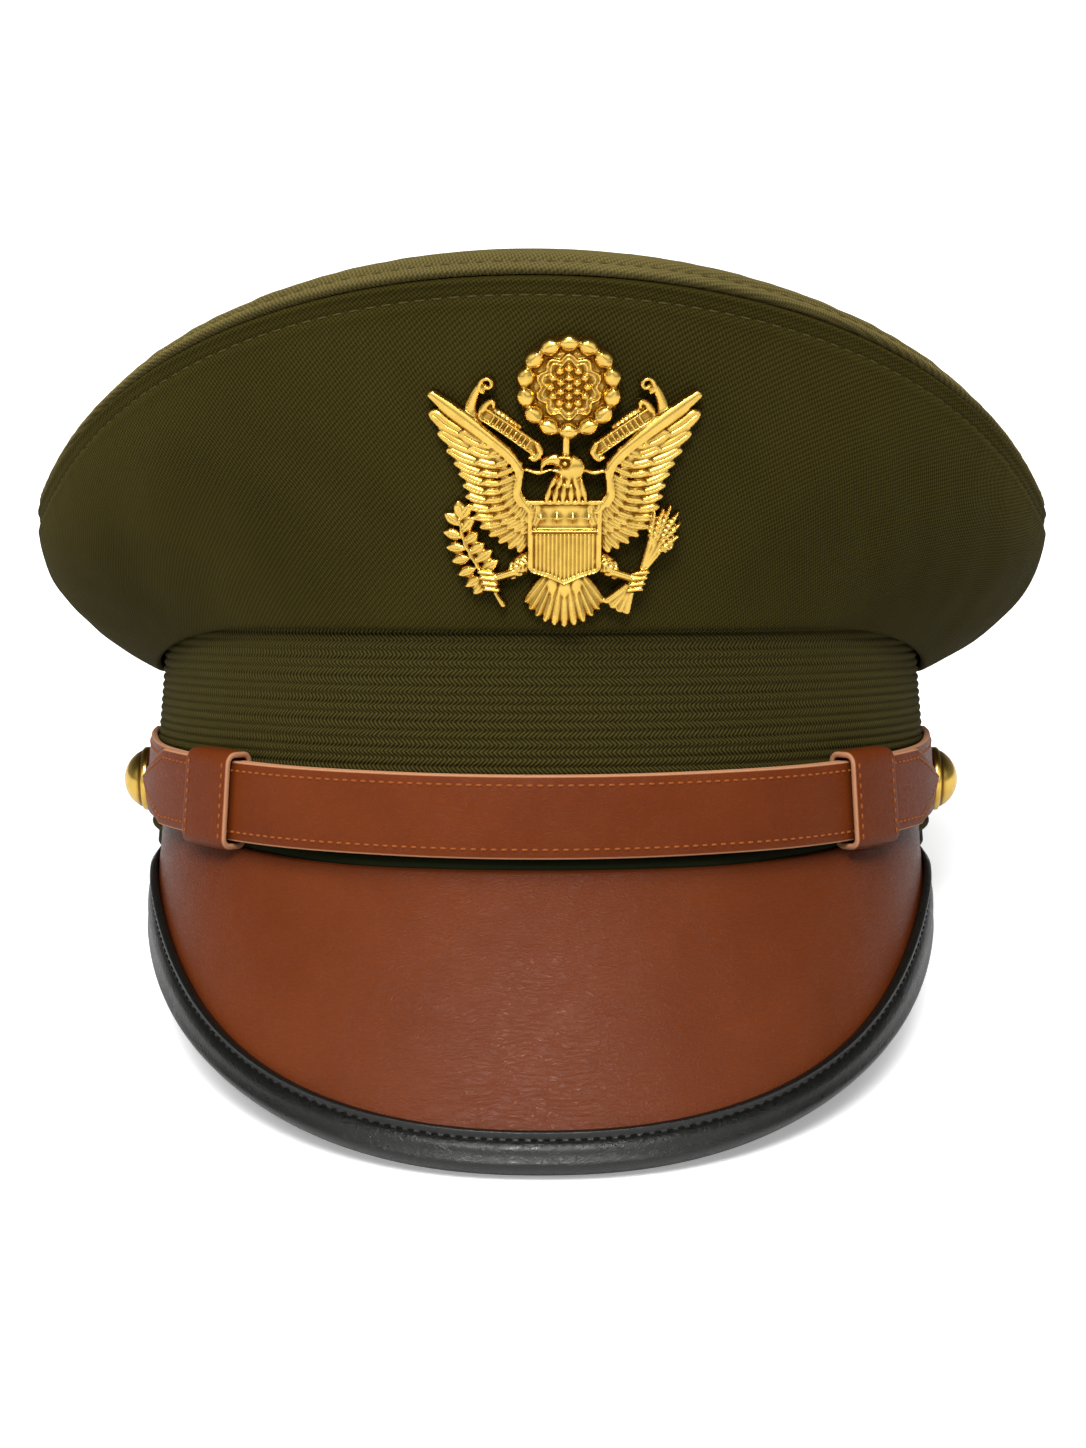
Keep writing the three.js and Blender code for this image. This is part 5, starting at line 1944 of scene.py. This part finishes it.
@dataclass(frozen=True)
class Badge:
    """The gilt badge: a spread-winged bird over a fluted shield, with a rosette over its head."""

    form: CrownForm = CrownForm()
    height: float = 78.0
    aside: float = 4.4
    bend: float = 118.0
    gap: float = 1.1
    pitch: float = 0.19
    plate: float = 0.75

    def wing(self, relief: Relief, side: int) -> None:
        """Lay a wing: flight feathers, two rows of coverts over them, and the smooth arm on top.

        Each row has its tips on a curve of its own. A row's roots lie part of the way back to the
        arm, so that the tips of the row above hide them.

        Args:
            relief: the relief to lay it on.
            side: -1 for the left wing, 1 for the right.
        """
        flip = np.array([side, 1.0])
        flight = np.array([
            (25.1, 13.6), (23.5, 9.9), (21.9, 6.7), (20.6, 4.3), (19.7, 2.3), (18.9, 0.1), (18.4, -2.0),
            (17.8, -4.1), (16.9, -6.1), (15.6, -7.9), (13.9, -9.4), (12.1, -10.7), (10.2, -11.7), (8.5, -12.3),
        ])
        cover = np.array([
            (19.2, 10.1), (17.6, 7.2), (16.3, 4.7), (15.7, 2.6), (15.2, 0.7), (14.9, -1.1), (14.5, -2.8),
            (13.9, -4.4), (12.9, -5.9), (11.7, -7.0), (10.4, -7.8), (9.0, -8.4), (7.7, -8.8), (6.6, -9.0),
        ])
        small = np.array([
            (15.2, 8.3), (13.7, 6.1), (12.6, 4.2), (12.2, 2.4), (12.0, 0.8), (11.9, -0.7), (11.6, -2.2),
            (11.0, -3.6), (10.1, -4.8), (9.0, -5.7), (7.8, -6.3), (6.8, -6.6), (6.0, -6.8), (5.4, -7.0),
        ])
        root = np.array([
            (13.0, 8.2), (11.4, 6.9), (10.2, 5.4), (9.2, 4.0), (9.0, 2.4), (9.1, 1.0), (9.2, -0.3),
            (8.9, -1.5), (8.2, -2.6), (7.4, -3.4), (6.6, -3.9), (6.0, -4.2), (5.5, -4.4), (5.0, -4.6),
        ])
        rows = (
            (flight, cover, 1.0, 0.5, 1.1), (cover, small, 0.86, 0.95, 1.0),
            (small, root, 0.74, 1.35, 0.85)
        )
        for tips, bases, width, lift, rise in rows:
            outer = np.clip(1.7 - 0.22 * np.arange(len(tips)), 1.0, 1.7)
            for tip, base, wide in zip(tips, bases, width * outer):
                way = tip - base
                bow = np.array([way[1], -way[0]]) * 0.05
                start, middle = base - way * 0.35, base + way * 0.45 + bow
                path = [start * flip, middle * flip, (tip - way * 0.16) * flip, tip * flip]
                relief.stroke(path, wide * np.array([0.8, 0.97, 0.93, 0.62]), lift, rise, shaft=-0.34)
        arm = [(6.2, -4.6), (7.6, -2.9), (8.6, -1.0), (8.5, 1.2), (8.3, 3.3), (9.4, 5.3), (11.5, 7.4),
               (14.5, 9.7), (17.9, 12.2), (21.8, 15.0), (24.9, 17.3)]
        path = np.array(arm) * flip
        relief.stroke(path, [0.8, 0.9, 0.95, 0.95, 0.95, 1.0, 1.15, 1.35, 1.5, 1.5, 1.15], 1.5, 1.0)
        inner = path[1:9] + np.array([0.55 * side, -0.62])
        relief.stroke(inner, 0.42, 1.85, 0.55)

    def shield(self, relief: Relief) -> None:
        """Lay the shield: a raised frame, a head band with lozenges, and upright flutes."""
        outline = [(-7.1, -2.3), (7.4, -2.3), (7.2, -3.2), (7.2, -15.6), (6.3, -16.7), (3.4, -17.5), (0.1, -19.0),
                   (-3.2, -17.5), (-6.1, -16.7), (-6.9, -15.6), (-6.9, -3.2)]
        area, inside = relief.polygon(outline)
        u, v = relief.u[area] - 0.15, relief.v[area]
        field_depth = smoothstep(inside, 0.75, 1.05)
        frame = 2.5 * smoothstep(inside, -0.1, 0.25) - 0.35 * bell(inside, 0.62, 0.16) - 0.85 * field_depth
        bar = bell(v, -8.35, 0.3) * field_depth
        flutes = np.abs(np.cos(np.pi * 16 * u / 12.2)) ** 0.8 * (v < -8.8) * field_depth
        lozenge = np.maximum(0, 1 - np.abs((u + 9) % 3 - 1.5) / 1.25 - np.abs(v + 5.8) / 1.5) * (v > -7.9)
        height = frame + 0.75 * bar + 0.55 * flutes + 0.95 * lozenge * field_depth
        relief.lay(area, inside, height)

    def head(self, relief: Relief) -> None:
        """Lay the bird's neck and head, turned to the left, with a hooked beak."""
        relief.stroke([(0.8, 3.4), (0.7, -0.9), (0.6, -3.0)], [2.6, 3.3, 3.9], 0.9, 1.0)
        locks = (
            (-2.6, 0.6, -3.5), (-1.3, 0.3, -1.9), (0.0, 0.6, -0.3), (1.3, 0.5, 1.3), (2.5, 1.0, 2.8), (3.2, 1.6, 4.2),
            (-1.9, 1.9, -2.5), (-0.6, 2.2, -1.0), (0.8, 2.4, 0.6), (2.1, 2.4, 2.2),
        )
        for start, top, end in locks:
            low = -2.9 if top < 1.8 else 0.2
            relief.stroke(
                [(start, top), ((start + end) / 2, (top + low) / 2), (end, low)], [0.35, 0.72, 0.3],
                1.7, 0.95
            )
        relief.stroke([(1.3, 3.8)], 2.75, 1.3, 1.5)
        relief.stroke(
            [(-0.3, 5.0), (-2.1, 5.5), (-3.7, 4.9), (-4.3, 3.5)], [1.6, 1.25, 0.85, 0.3], 1.2, 1.35
        )
        relief.stroke([(-0.6, 3.3), (-2.9, 3.5)], [0.95, 0.35], 1.1, 0.9)
        relief.stroke([(-1.0, 5.95), (1.0, 5.75)], [0.3, 0.45], 2.5, 0.5)
        relief.engrave((0.1, 4.75), 0.72, 0.26, 0.8)
        for step in np.linspace(0, 1, 9):
            relief.engrave((lerp(-3.9, -0.9, step), lerp(3.6, 3.85, step)), 0.0, 0.3, 0.4)

    def tail(self, relief: Relief) -> None:
        """Lay the tail: eleven feathers spread below the shield, with small ones over them."""
        base = np.array([0.2, -12.6])
        for turn in (-37, 37, -30, 30, -22.5, 22.5, -15, 15, -7.5, 7.5, 0):
            angle = np.radians(turn)
            reach = 14.7 - 2.3 * (abs(turn) / 37) ** 1.6
            out = np.array([np.sin(angle), -np.cos(angle)])
            path = [
                base + out * 6.0, base + out * reach * 0.75, base + out * (reach - 0.6),
                base + out * reach
            ]
            relief.stroke(path, [0.8, 1.0, 0.8, 0.3], 0.55 + 0.15 * (abs(turn) < 20), 0.95, shaft=0.3)
        for spot, size in (((-2.1, -19.3), 1.1), ((2.4, -19.3), 1.1), ((0.2, -19.8), 1.3)):
            relief.stroke(
                [(spot[0], spot[1] + 1.4), spot, (spot[0], spot[1] - 1.7)], [size, size, 0.3], 1.1,
                0.9
            )

    def rosette(self, relief: Relief) -> None:
        """Lay the rosette: a ring of oval beads, a lobed line, and a cluster of small beads."""
        middle = np.array([0.75, 19.1])
        relief.stroke([tuple(middle)], 9.7, self.plate, 0.3)
        for turn in np.arange(14) * 2 * np.pi / 14:
            out, side = np.array([np.sin(turn), np.cos(turn)]), np.array([np.cos(turn), -np.sin(turn)])
            seat = middle + out * 8.35
            relief.stroke([seat - side * 0.75, seat, seat + side * 0.75], [1.4, 1.85, 1.4], 0.75, 1.9)
        area = relief.window(middle - 7.0, middle + 7.0)
        du, dv = relief.u[area] - middle[0], relief.v[area] - middle[1]
        radius, turn = np.hypot(du, dv), np.arctan2(du, dv)
        lobed = 5.1 + 0.95 * np.abs(np.cos(5 * turn)) ** 1.6
        height = 1.15 + 0.75 * bell(radius, lobed, 0.28) + 0.4 * bell(radius, lobed - 0.85, 0.2)
        relief.lay(area, 6.5 - radius, height)
        for ring, count in ((0.0, 1), (1.75, 6), (3.45, 12)):
            for turn in np.arange(count) * 2 * np.pi / count:
                spot = middle + ring * np.array([np.sin(turn), np.cos(turn)])
                relief.stroke([tuple(spot)], 0.84, 1.0, 1.1)
        relief.stroke([(0.3, 9.4), (0.3, 6.4)], [0.85, 0.95], 1.0, 1.0)

    def ribbon(self, relief: Relief, side: int) -> None:
        """Lay a plain ribbon that rises from beside the head, folds and ends in a curl.

        Args:
            relief: the relief to lay it on.
            side: -1 for the left, 1 for the right.
        """

        def swung(path: Sequence[tuple[float, float]]) -> list[tuple[float, float]]:
            """Return the path on its own side."""
            return [(side * u + 0.4, v) for u, v in path]

        relief.stroke(
            swung([(17.3, 12.6), (18.2, 14.6), (17.5, 17.2), (15.9, 20.2)]), [1.2, 1.25, 1.1, 0.7],
            0.8, 0.95
        )
        relief.stroke(
            swung([(9.0, 11.4), (12.6, 13.9), (15.2, 15.4)]), [0.7, 0.8, 0.6], 0.7, 0.7, notch=0.35
        )
        band = swung([(5.9, 7.4), (8.6, 9.3), (11.8, 11.5), (15.3, 13.7)])
        relief.stroke(band, 1.5, 1.0, 1.15, flat=True)
        for share in np.linspace(0.1, 0.9, 9):
            spot = np.array([lerp(side * 6.4 + 0.4, side * 14.8 + 0.4, share), lerp(7.7, 13.4, share)])
            tilt = np.array([-side * 0.56, 0.83]) * 0.62
            relief.stroke([spot - tilt, spot + tilt], 0.2, 1.75, 0.3)
        relief.stroke(
            swung([(5.4, 8.3), (4.9, 6.9), (5.9, 5.5), (7.0, 5.8)]), [0.7, 0.85, 0.75, 0.5], 1.2,
            1.1
        )
        relief.stroke(
            swung([(15.9, 14.6), (14.9, 15.9), (13.7, 16.3), (13.6, 15.3)]), [0.8, 0.75, 0.6, 0.45],
            1.2, 1.1
        )
        turn = np.radians(np.linspace(-60, 330, 15))
        size = np.linspace(1.6, 0.4, 15)
        curl = [(14.9 + s * np.cos(t), 19.4 + s * np.sin(t)) for s, t in zip(size, turn)]
        relief.stroke(swung(curl), [0.62] * 10 + [0.6, 0.58, 0.56, 0.54, 0.5], 1.0, 1.1)
        relief.stroke(swung([(3.3, 3.4), (5.2, 2.8), (7.6, 3.4)]), [0.45, 0.62, 0.5], 0.9, 0.9)

    def legs(self, relief: Relief, side: int) -> None:
        """Lay a feathered thigh, a shank and four claws closed on what the bird holds.

        Args:
            relief: the relief to lay it on.
            side: -1 for the left, 1 for the right.
        """
        relief.stroke(
            [(side * 6.4, -14.2), (side * 8.4, -15.4), (side * 9.8, -16.8)], [1.9, 2.0, 1.4], 0.8,
            1.2, notch=0.45
        )
        relief.stroke([(side * 9.6, -16.6), (side * 13.6, -17.9)], [1.0, 0.95], 1.0, 1.1)
        for shift in (-1.65, -0.55, 0.55, 1.65):
            foot = np.array([side * (14.2 + 0.35 * shift), -18.1 + shift])
            relief.stroke([foot - (side * 1.3, 0.3), foot + (side * 1.2, -0.1)], [0.55, 0.62], 1.5, 1.0)

    def sprig(self, relief: Relief) -> None:
        """Lay the leafy sprig in the left foot: a bent stem with leaves on both sides."""
        stem = [
            (-11.5, -23.0), (-13.2, -20.4), (-15.2, -17.2), (-17.6, -13.6), (-19.2, -10.0),
            (-19.9, -6.4)
        ]
        relief.stroke(stem, [0.75, 0.5, 0.5, 0.45, 0.4, 0.3], 1.2, 0.95)
        leaves = (
            (-19.8, -6.2, -20.2, -2.6), (-19.8, -6.6, -17.9, -3.4), (-19.9, -7.6, -22.9, -5.2),
            (-19.5, -9.0, -17.2, -5.9), (-19.4, -10.0, -23.3, -8.9), (-18.9, -11.2, -16.3, -8.9),
            (-18.7, -12.2, -22.8, -12.0), (-18.0, -13.2, -15.0, -10.9), (-17.9, -14.0, -21.7, -14.8),
            (-17.0, -14.8, -13.4, -12.2), (-16.8, -16.0, -20.4, -17.5), (-15.8, -16.4, -12.3, -14.2),
            (-15.6, -17.8, -18.9, -19.7), (-14.8, -18.8, -17.3, -21.2),
        )
        for u0, v0, u1, v1 in leaves:
            middle = (lerp(u0, u1, 0.5), lerp(v0, v1, 0.5))
            relief.stroke([(u0, v0), middle, (u1, v1)], [0.4, 1.3, 0.12], 0.7, 1.1, shaft=-0.2)

    def sheaf(self, relief: Relief) -> None:
        """Lay the sheaf of wheat in the right foot: splayed stalks, a tie, and eight ears."""
        for end in ((8.3, -22.2), (9.5, -23.2), (10.8, -24.0), (12.1, -24.4)):
            relief.stroke([(13.4, -18.4), end], [0.7, 0.9], 0.8, 1.0)
        for end in ((16.6, -10.2), (17.5, -10.6), (18.4, -11.0), (19.2, -11.6)):
            relief.stroke([(14.4, -17.6), end], [0.55, 0.72], 0.8, 1.0)
        ears = (
            (16.5, -10.6, 17.2, -4.9), (17.2, -9.8, 18.9, -4.4), (17.8, -10.2, 20.3, -3.7), (18.6, -10.2, 21.8, -5.0),
            (18.4, -11.2, 22.3, -7.1), (18.8, -12.0, 21.9, -9.7), (18.3, -12.6, 20.8, -11.8), (17.0, -11.0, 18.3, -6.9),
        )
        for u0, v0, u1, v1 in ears:
            relief.stroke(
                [(u0, v0), ((u0 + u1) / 2, (v0 + v1) / 2), (u1, v1)], [0.6, 0.95, 0.3], 1.1, 1.05,
                notch=0.5
            )

    def draw(self) -> Relief:
        """Lay every part of the device on a blank relief.

        Returns:
            The relief.
        """
        relief = Relief.blank((-28.0, -29.5), (28.5, 31.0), self.pitch)
        self.tail(relief)
        self.sprig(relief)
        self.sheaf(relief)
        for side in (-1, 1):
            self.legs(relief, side)
            self.wing(relief, side)
            self.ribbon(relief, side)
        self.rosette(relief)
        self.head(relief)
        self.shield(relief)
        return relief

    def shell(self) -> Shell:
        """Cut the relief out along its outline and give it a flat back and side walls.

        A square of the grid is kept where its four corners lie inside the outline. Corners on
        the border move down the slope of the inside distance on to the outline itself.

        Returns:
            The badge, closed, bent to the crown, with painted shade on its low places, its rim and its back in the
            recess mask.
        """
        relief = self.draw()
        kept = relief.inside > 0
        cell = kept[:-1, :-1] & kept[1:, :-1] & kept[1:, 1:] & kept[:-1, 1:]
        index = np.arange(kept.size).reshape(kept.shape)
        faces = np.stack([index[:-1, :-1], index[1:, :-1], index[1:, 1:], index[:-1, 1:]], axis=-1)[cell]
        starts, ends = faces.ravel(), np.roll(faces, -1, 1).ravel()
        size = kept.size
        lone = ~np.isin(starts * size + ends, ends * size + starts)
        rim_a, rim_b = starts[lone], ends[lone]
        rim = np.unique(rim_a)
        slope_u, slope_v = np.gradient(relief.inside, self.pitch)
        steep = np.maximum(np.hypot(slope_u, slope_v), 0.3)
        move = np.clip(relief.inside / steep, 0, 0.9 * self.pitch) / steep
        u, v = relief.u.copy().ravel(), relief.v.copy().ravel()
        u[rim] -= (move * slope_u).ravel()[rim]
        v[rim] -= (move * slope_v).ravel()[rim]
        height = relief.height.copy()
        # Painted shade: where the relief lies below its blurred self it is darker, and the rim and the back take a
        # fixed share.
        soft = sum(
            np.roll(height, (i, j), (0, 1)) for i in (-4, -2, 0, 2, 4) for j in (-4, -2, 0, 2, 4)
        ) / 25
        recess = np.clip((soft - height) / 0.36, 0, 1).ravel()
        recess[rim] = 0.6
        w = height.ravel()
        w[rim] = np.minimum(w[rim], self.plate)
        used, renumbered = np.unique(faces, return_inverse=True)
        count = len(used)
        back = renumbered.reshape(faces.shape)[:, ::-1] + count
        place = np.zeros(size, int)
        place[used] = np.arange(count)
        walls = np.stack(
            [place[rim_b], place[rim_a], place[rim_a] + count, place[rim_b] + count], axis=-1
        )
        flat = np.concatenate(
            [np.stack([u[used], v[used], w[used]], -1), np.stack([u[used], v[used], 0 * w[used]], -1)]
        )
        all_faces = np.concatenate([renumbered.reshape(faces.shape), back, walls])
        uv = flat[all_faces][..., :2]
        mask = np.concatenate([recess[used], np.full(count, 0.6)])
        return Shell(self.on_crown(flat), [all_faces], [uv], {"recess": mask})

    def on_crown(self, flat: Array) -> Array:
        """Lay flat points on the crown's front.

        With u across, v up and w out: seat + slope v + out ((bend + w) cos(u/bend) - bend + gap),
        and (bend + w) sin(u/bend) + aside sideways.

        Args:
            flat: points as u, v, w.

        Returns:
            The points in the cap's frame.
        """
        course = self.form.side(np.array([0.0]), 400)[0]
        near = int(np.abs(course[:, 2] - self.height).argmin())
        slope = unit(course[near - 20] - course[near + 20])
        out = np.array([0.0, -slope[2], slope[1]])
        angle, radius = flat[:, 0] / self.bend, self.bend + flat[:, 2]
        points = course[near] + flat[:, 1:2] * slope + (
            radius * np.cos(angle) - self.bend + self.gap
        )[:, None] * out
        points[:, 0] += radius * np.sin(angle) + self.aside
        return points

    def build(self, room: Workroom, palette: Palette) -> None:
        """Make the badge.

        Args:
            room: makes pieces.
            palette: hands out finishes.
        """
        room.piece("badge_relief", self.shell(), palette[Finish.GILT], ["badge"])


@dataclass(frozen=True)
class Studio:
    """The floor, the soft lights, the backdrop's tone and the camera."""

    lens: float = 58.55
    sensor: float = 36.0
    pitch: float = 15.20
    place: tuple[float, float, float] = (0.0005, -0.5352, 0.1938)
    room_light: float = 0.35
    horizon: float = 0.2
    ceiling: float = 0.05
    window: float = 1.25

    def camera(self) -> None:
        """Set the camera at the photograph's viewing angle."""
        data = bpy.data.cameras.new("camera")
        data.lens, data.sensor_width, data.sensor_fit = self.lens, self.sensor, "AUTO"
        data.clip_start, data.clip_end = 0.01, 50.0
        camera = bpy.data.objects.new("camera", data)
        camera.location = self.place
        camera.rotation_euler = (math.radians(90 - self.pitch), 0.0, 0.0)
        bpy.context.scene.collection.objects.link(camera)
        bpy.context.scene.camera = camera

    def floor(self) -> None:
        """Lay a plain pale floor under the cap."""
        mesh = bpy.data.meshes.new("floor")
        reach = 6.0
        corners = [(-reach, -reach, 0), (reach, -reach, 0), (reach, reach, 0), (-reach, reach, 0)]
        mesh.from_pydata(corners, [], [(0, 1, 2, 3)])
        material, tree, shader = new_material("floor_paper")
        seen = tree.add("ShaderNodeLightPath").outputs["Is Camera Ray"]
        colour = tree.mix(seen, (0.6, 0.6, 0.6, 1.0), (0.92, 0.92, 0.92, 1.0))
        glow = tree.math("MULTIPLY", seen, 0.3)
        white = (1.0, 1.0, 1.0, 1.0)
        tree.fill(shader, {"Base Color": colour, "Emission Color": white, "Emission Strength": glow})
        tree.fill(shader, {"Roughness": 0.9, "Specular IOR Level": 0.1})
        mesh.materials.append(material)
        floor = bpy.data.objects.new("floor", mesh)
        bpy.context.scene.collection.objects.link(floor)
        floor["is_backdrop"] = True

    @staticmethod
    def lamp(
        name: str,
        place: Sequence[float],
        aim: Sequence[float],
        size: float,
        power: float,
        mirrored: bool = False,
    ) -> None:
        """Hang a square soft light.

        Args:
            name: the light's name.
            place: where it hangs, in metres.
            aim: the point that it shines at.
            size: its side.
            power: its power in watts.
            mirrored: whether shiny surfaces mirror it.
        """
        data = bpy.data.lights.new(name, "AREA")
        data.shape, data.size, data.energy = "SQUARE", size, power
        light = bpy.data.objects.new(name, data)
        back = np.array(place, float) - np.array(aim, float)
        level = math.hypot(back[0], back[1])
        light.location = place
        light.rotation_euler = (math.atan2(level, back[2]), 0.0, math.atan2(back[0], -back[1]))
        light.visible_glossy = mirrored
        bpy.context.scene.collection.objects.link(light)

    @staticmethod
    def sun(name: str, elevation: float, azimuth: float, spread: float, power: float) -> None:
        """Hang a very soft distant light.

        Args:
            name: the light's name.
            elevation: its height over the horizon, in degrees.
            azimuth: its turn from straight ahead of the cap towards the right, in degrees.
            spread: how wide it looks, in degrees.
            power: its strength.
        """
        data = bpy.data.lights.new(name, "SUN")
        data.energy, data.angle = power, math.radians(spread)
        light = bpy.data.objects.new(name, data)
        light.rotation_euler = (math.radians(90 - elevation), 0.0, math.radians(azimuth))
        light.visible_glossy = False
        bpy.context.scene.collection.objects.link(light)

    def lights(self) -> None:
        """Light the cap from above and from the left, in a room that is white behind.

        What shiny surfaces mirror is a dim room with one wide, bright window in front, whose
        strength is the product of three ramps: two over the height and one over the depth.
        """
        world = bpy.data.worlds.new("pale_room")
        bpy.context.scene.world = world
        world.use_nodes = True
        world.cycles.sampling_method = "NONE"
        tree = Tree(world.node_tree)
        background = world.node_tree.nodes["Background"]
        background.inputs["Color"].default_value = (1.0, 1.0, 1.0, 1.0)
        path = tree.add("ShaderNodeLightPath")
        way = tree.add("ShaderNodeSeparateXYZ", {0: tree.add("ShaderNodeTexCoord").outputs["Generated"]})
        height = tree.math("ABSOLUTE", way.outputs[2])
        plain = tree.spread(height, 0.15, 0.5, self.horizon, self.ceiling)
        rise = tree.spread(way.outputs[2], 0.02, 0.3)
        fall = tree.spread(way.outputs[2], 0.5, 0.8, 1.0, 0.0)
        front = tree.spread(way.outputs[1], -0.7, -0.1, 1.0, 0.0)
        pane = tree.math("MULTIPLY", tree.math("MULTIPLY", rise, fall), front)
        mirrored = tree.math("MULTIPLY_ADD", pane, self.window, plain)
        lit = tree.spread(path.outputs["Is Glossy Ray"], 0.0, 1.0, self.room_light, mirrored)
        strength = tree.spread(path.outputs["Is Camera Ray"], 0.0, 1.0, lit, 1.2)
        world.node_tree.links.new(strength, background.inputs["Strength"])
        self.sun("soft_ceiling", 74.0, -24.0, 70.0, 3.5)
        aim = (0.0, -0.09, 0.05)
        self.lamp("front_box", (-0.06, -1.0, 1.15), aim, 0.45, 14.0, mirrored=True)
        self.lamp("left_box", (-1.2, -0.6, 0.12), aim, 0.5, 6.0)
        self.lamp("right_box", (1.1, -0.6, 0.3), aim, 0.3, 0.6)
        bpy.context.scene.view_settings.view_transform = "Standard"

    def build(self) -> None:
        """Set up the floor, the lights and the camera."""
        self.camera()
        self.floor()
        self.lights()


def corners(box: tuple[Any, Any]) -> list[list[float]]:
    """Return a box's two corners as plain lists of numbers."""
    return [[float(c) for c in corner] for corner in box]


def main() -> None:
    """Load the frame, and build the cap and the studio."""
    logging.basicConfig(level=logging.INFO, format="%(name)s: %(message)s")
    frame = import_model()
    cad_box = corners(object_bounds())
    room = Workroom(CapFrame.from_record(frame["record"]))
    palette = Palette()
    Studio().build()
    for part in (Crown(), Band(), Peak(), Straps(), Buttons(), Badge()):
        part.build(room, palette)
        log.info("built %s", type(part).__name__)
    nut = frame["nodes"]["badge_nut"]
    nut.data.materials.clear()
    nut.data.materials.append(palette[Finish.GILT])
    {"cad": cad_box, "visual": corners(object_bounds())}


if __name__ == "__main__":
    main()
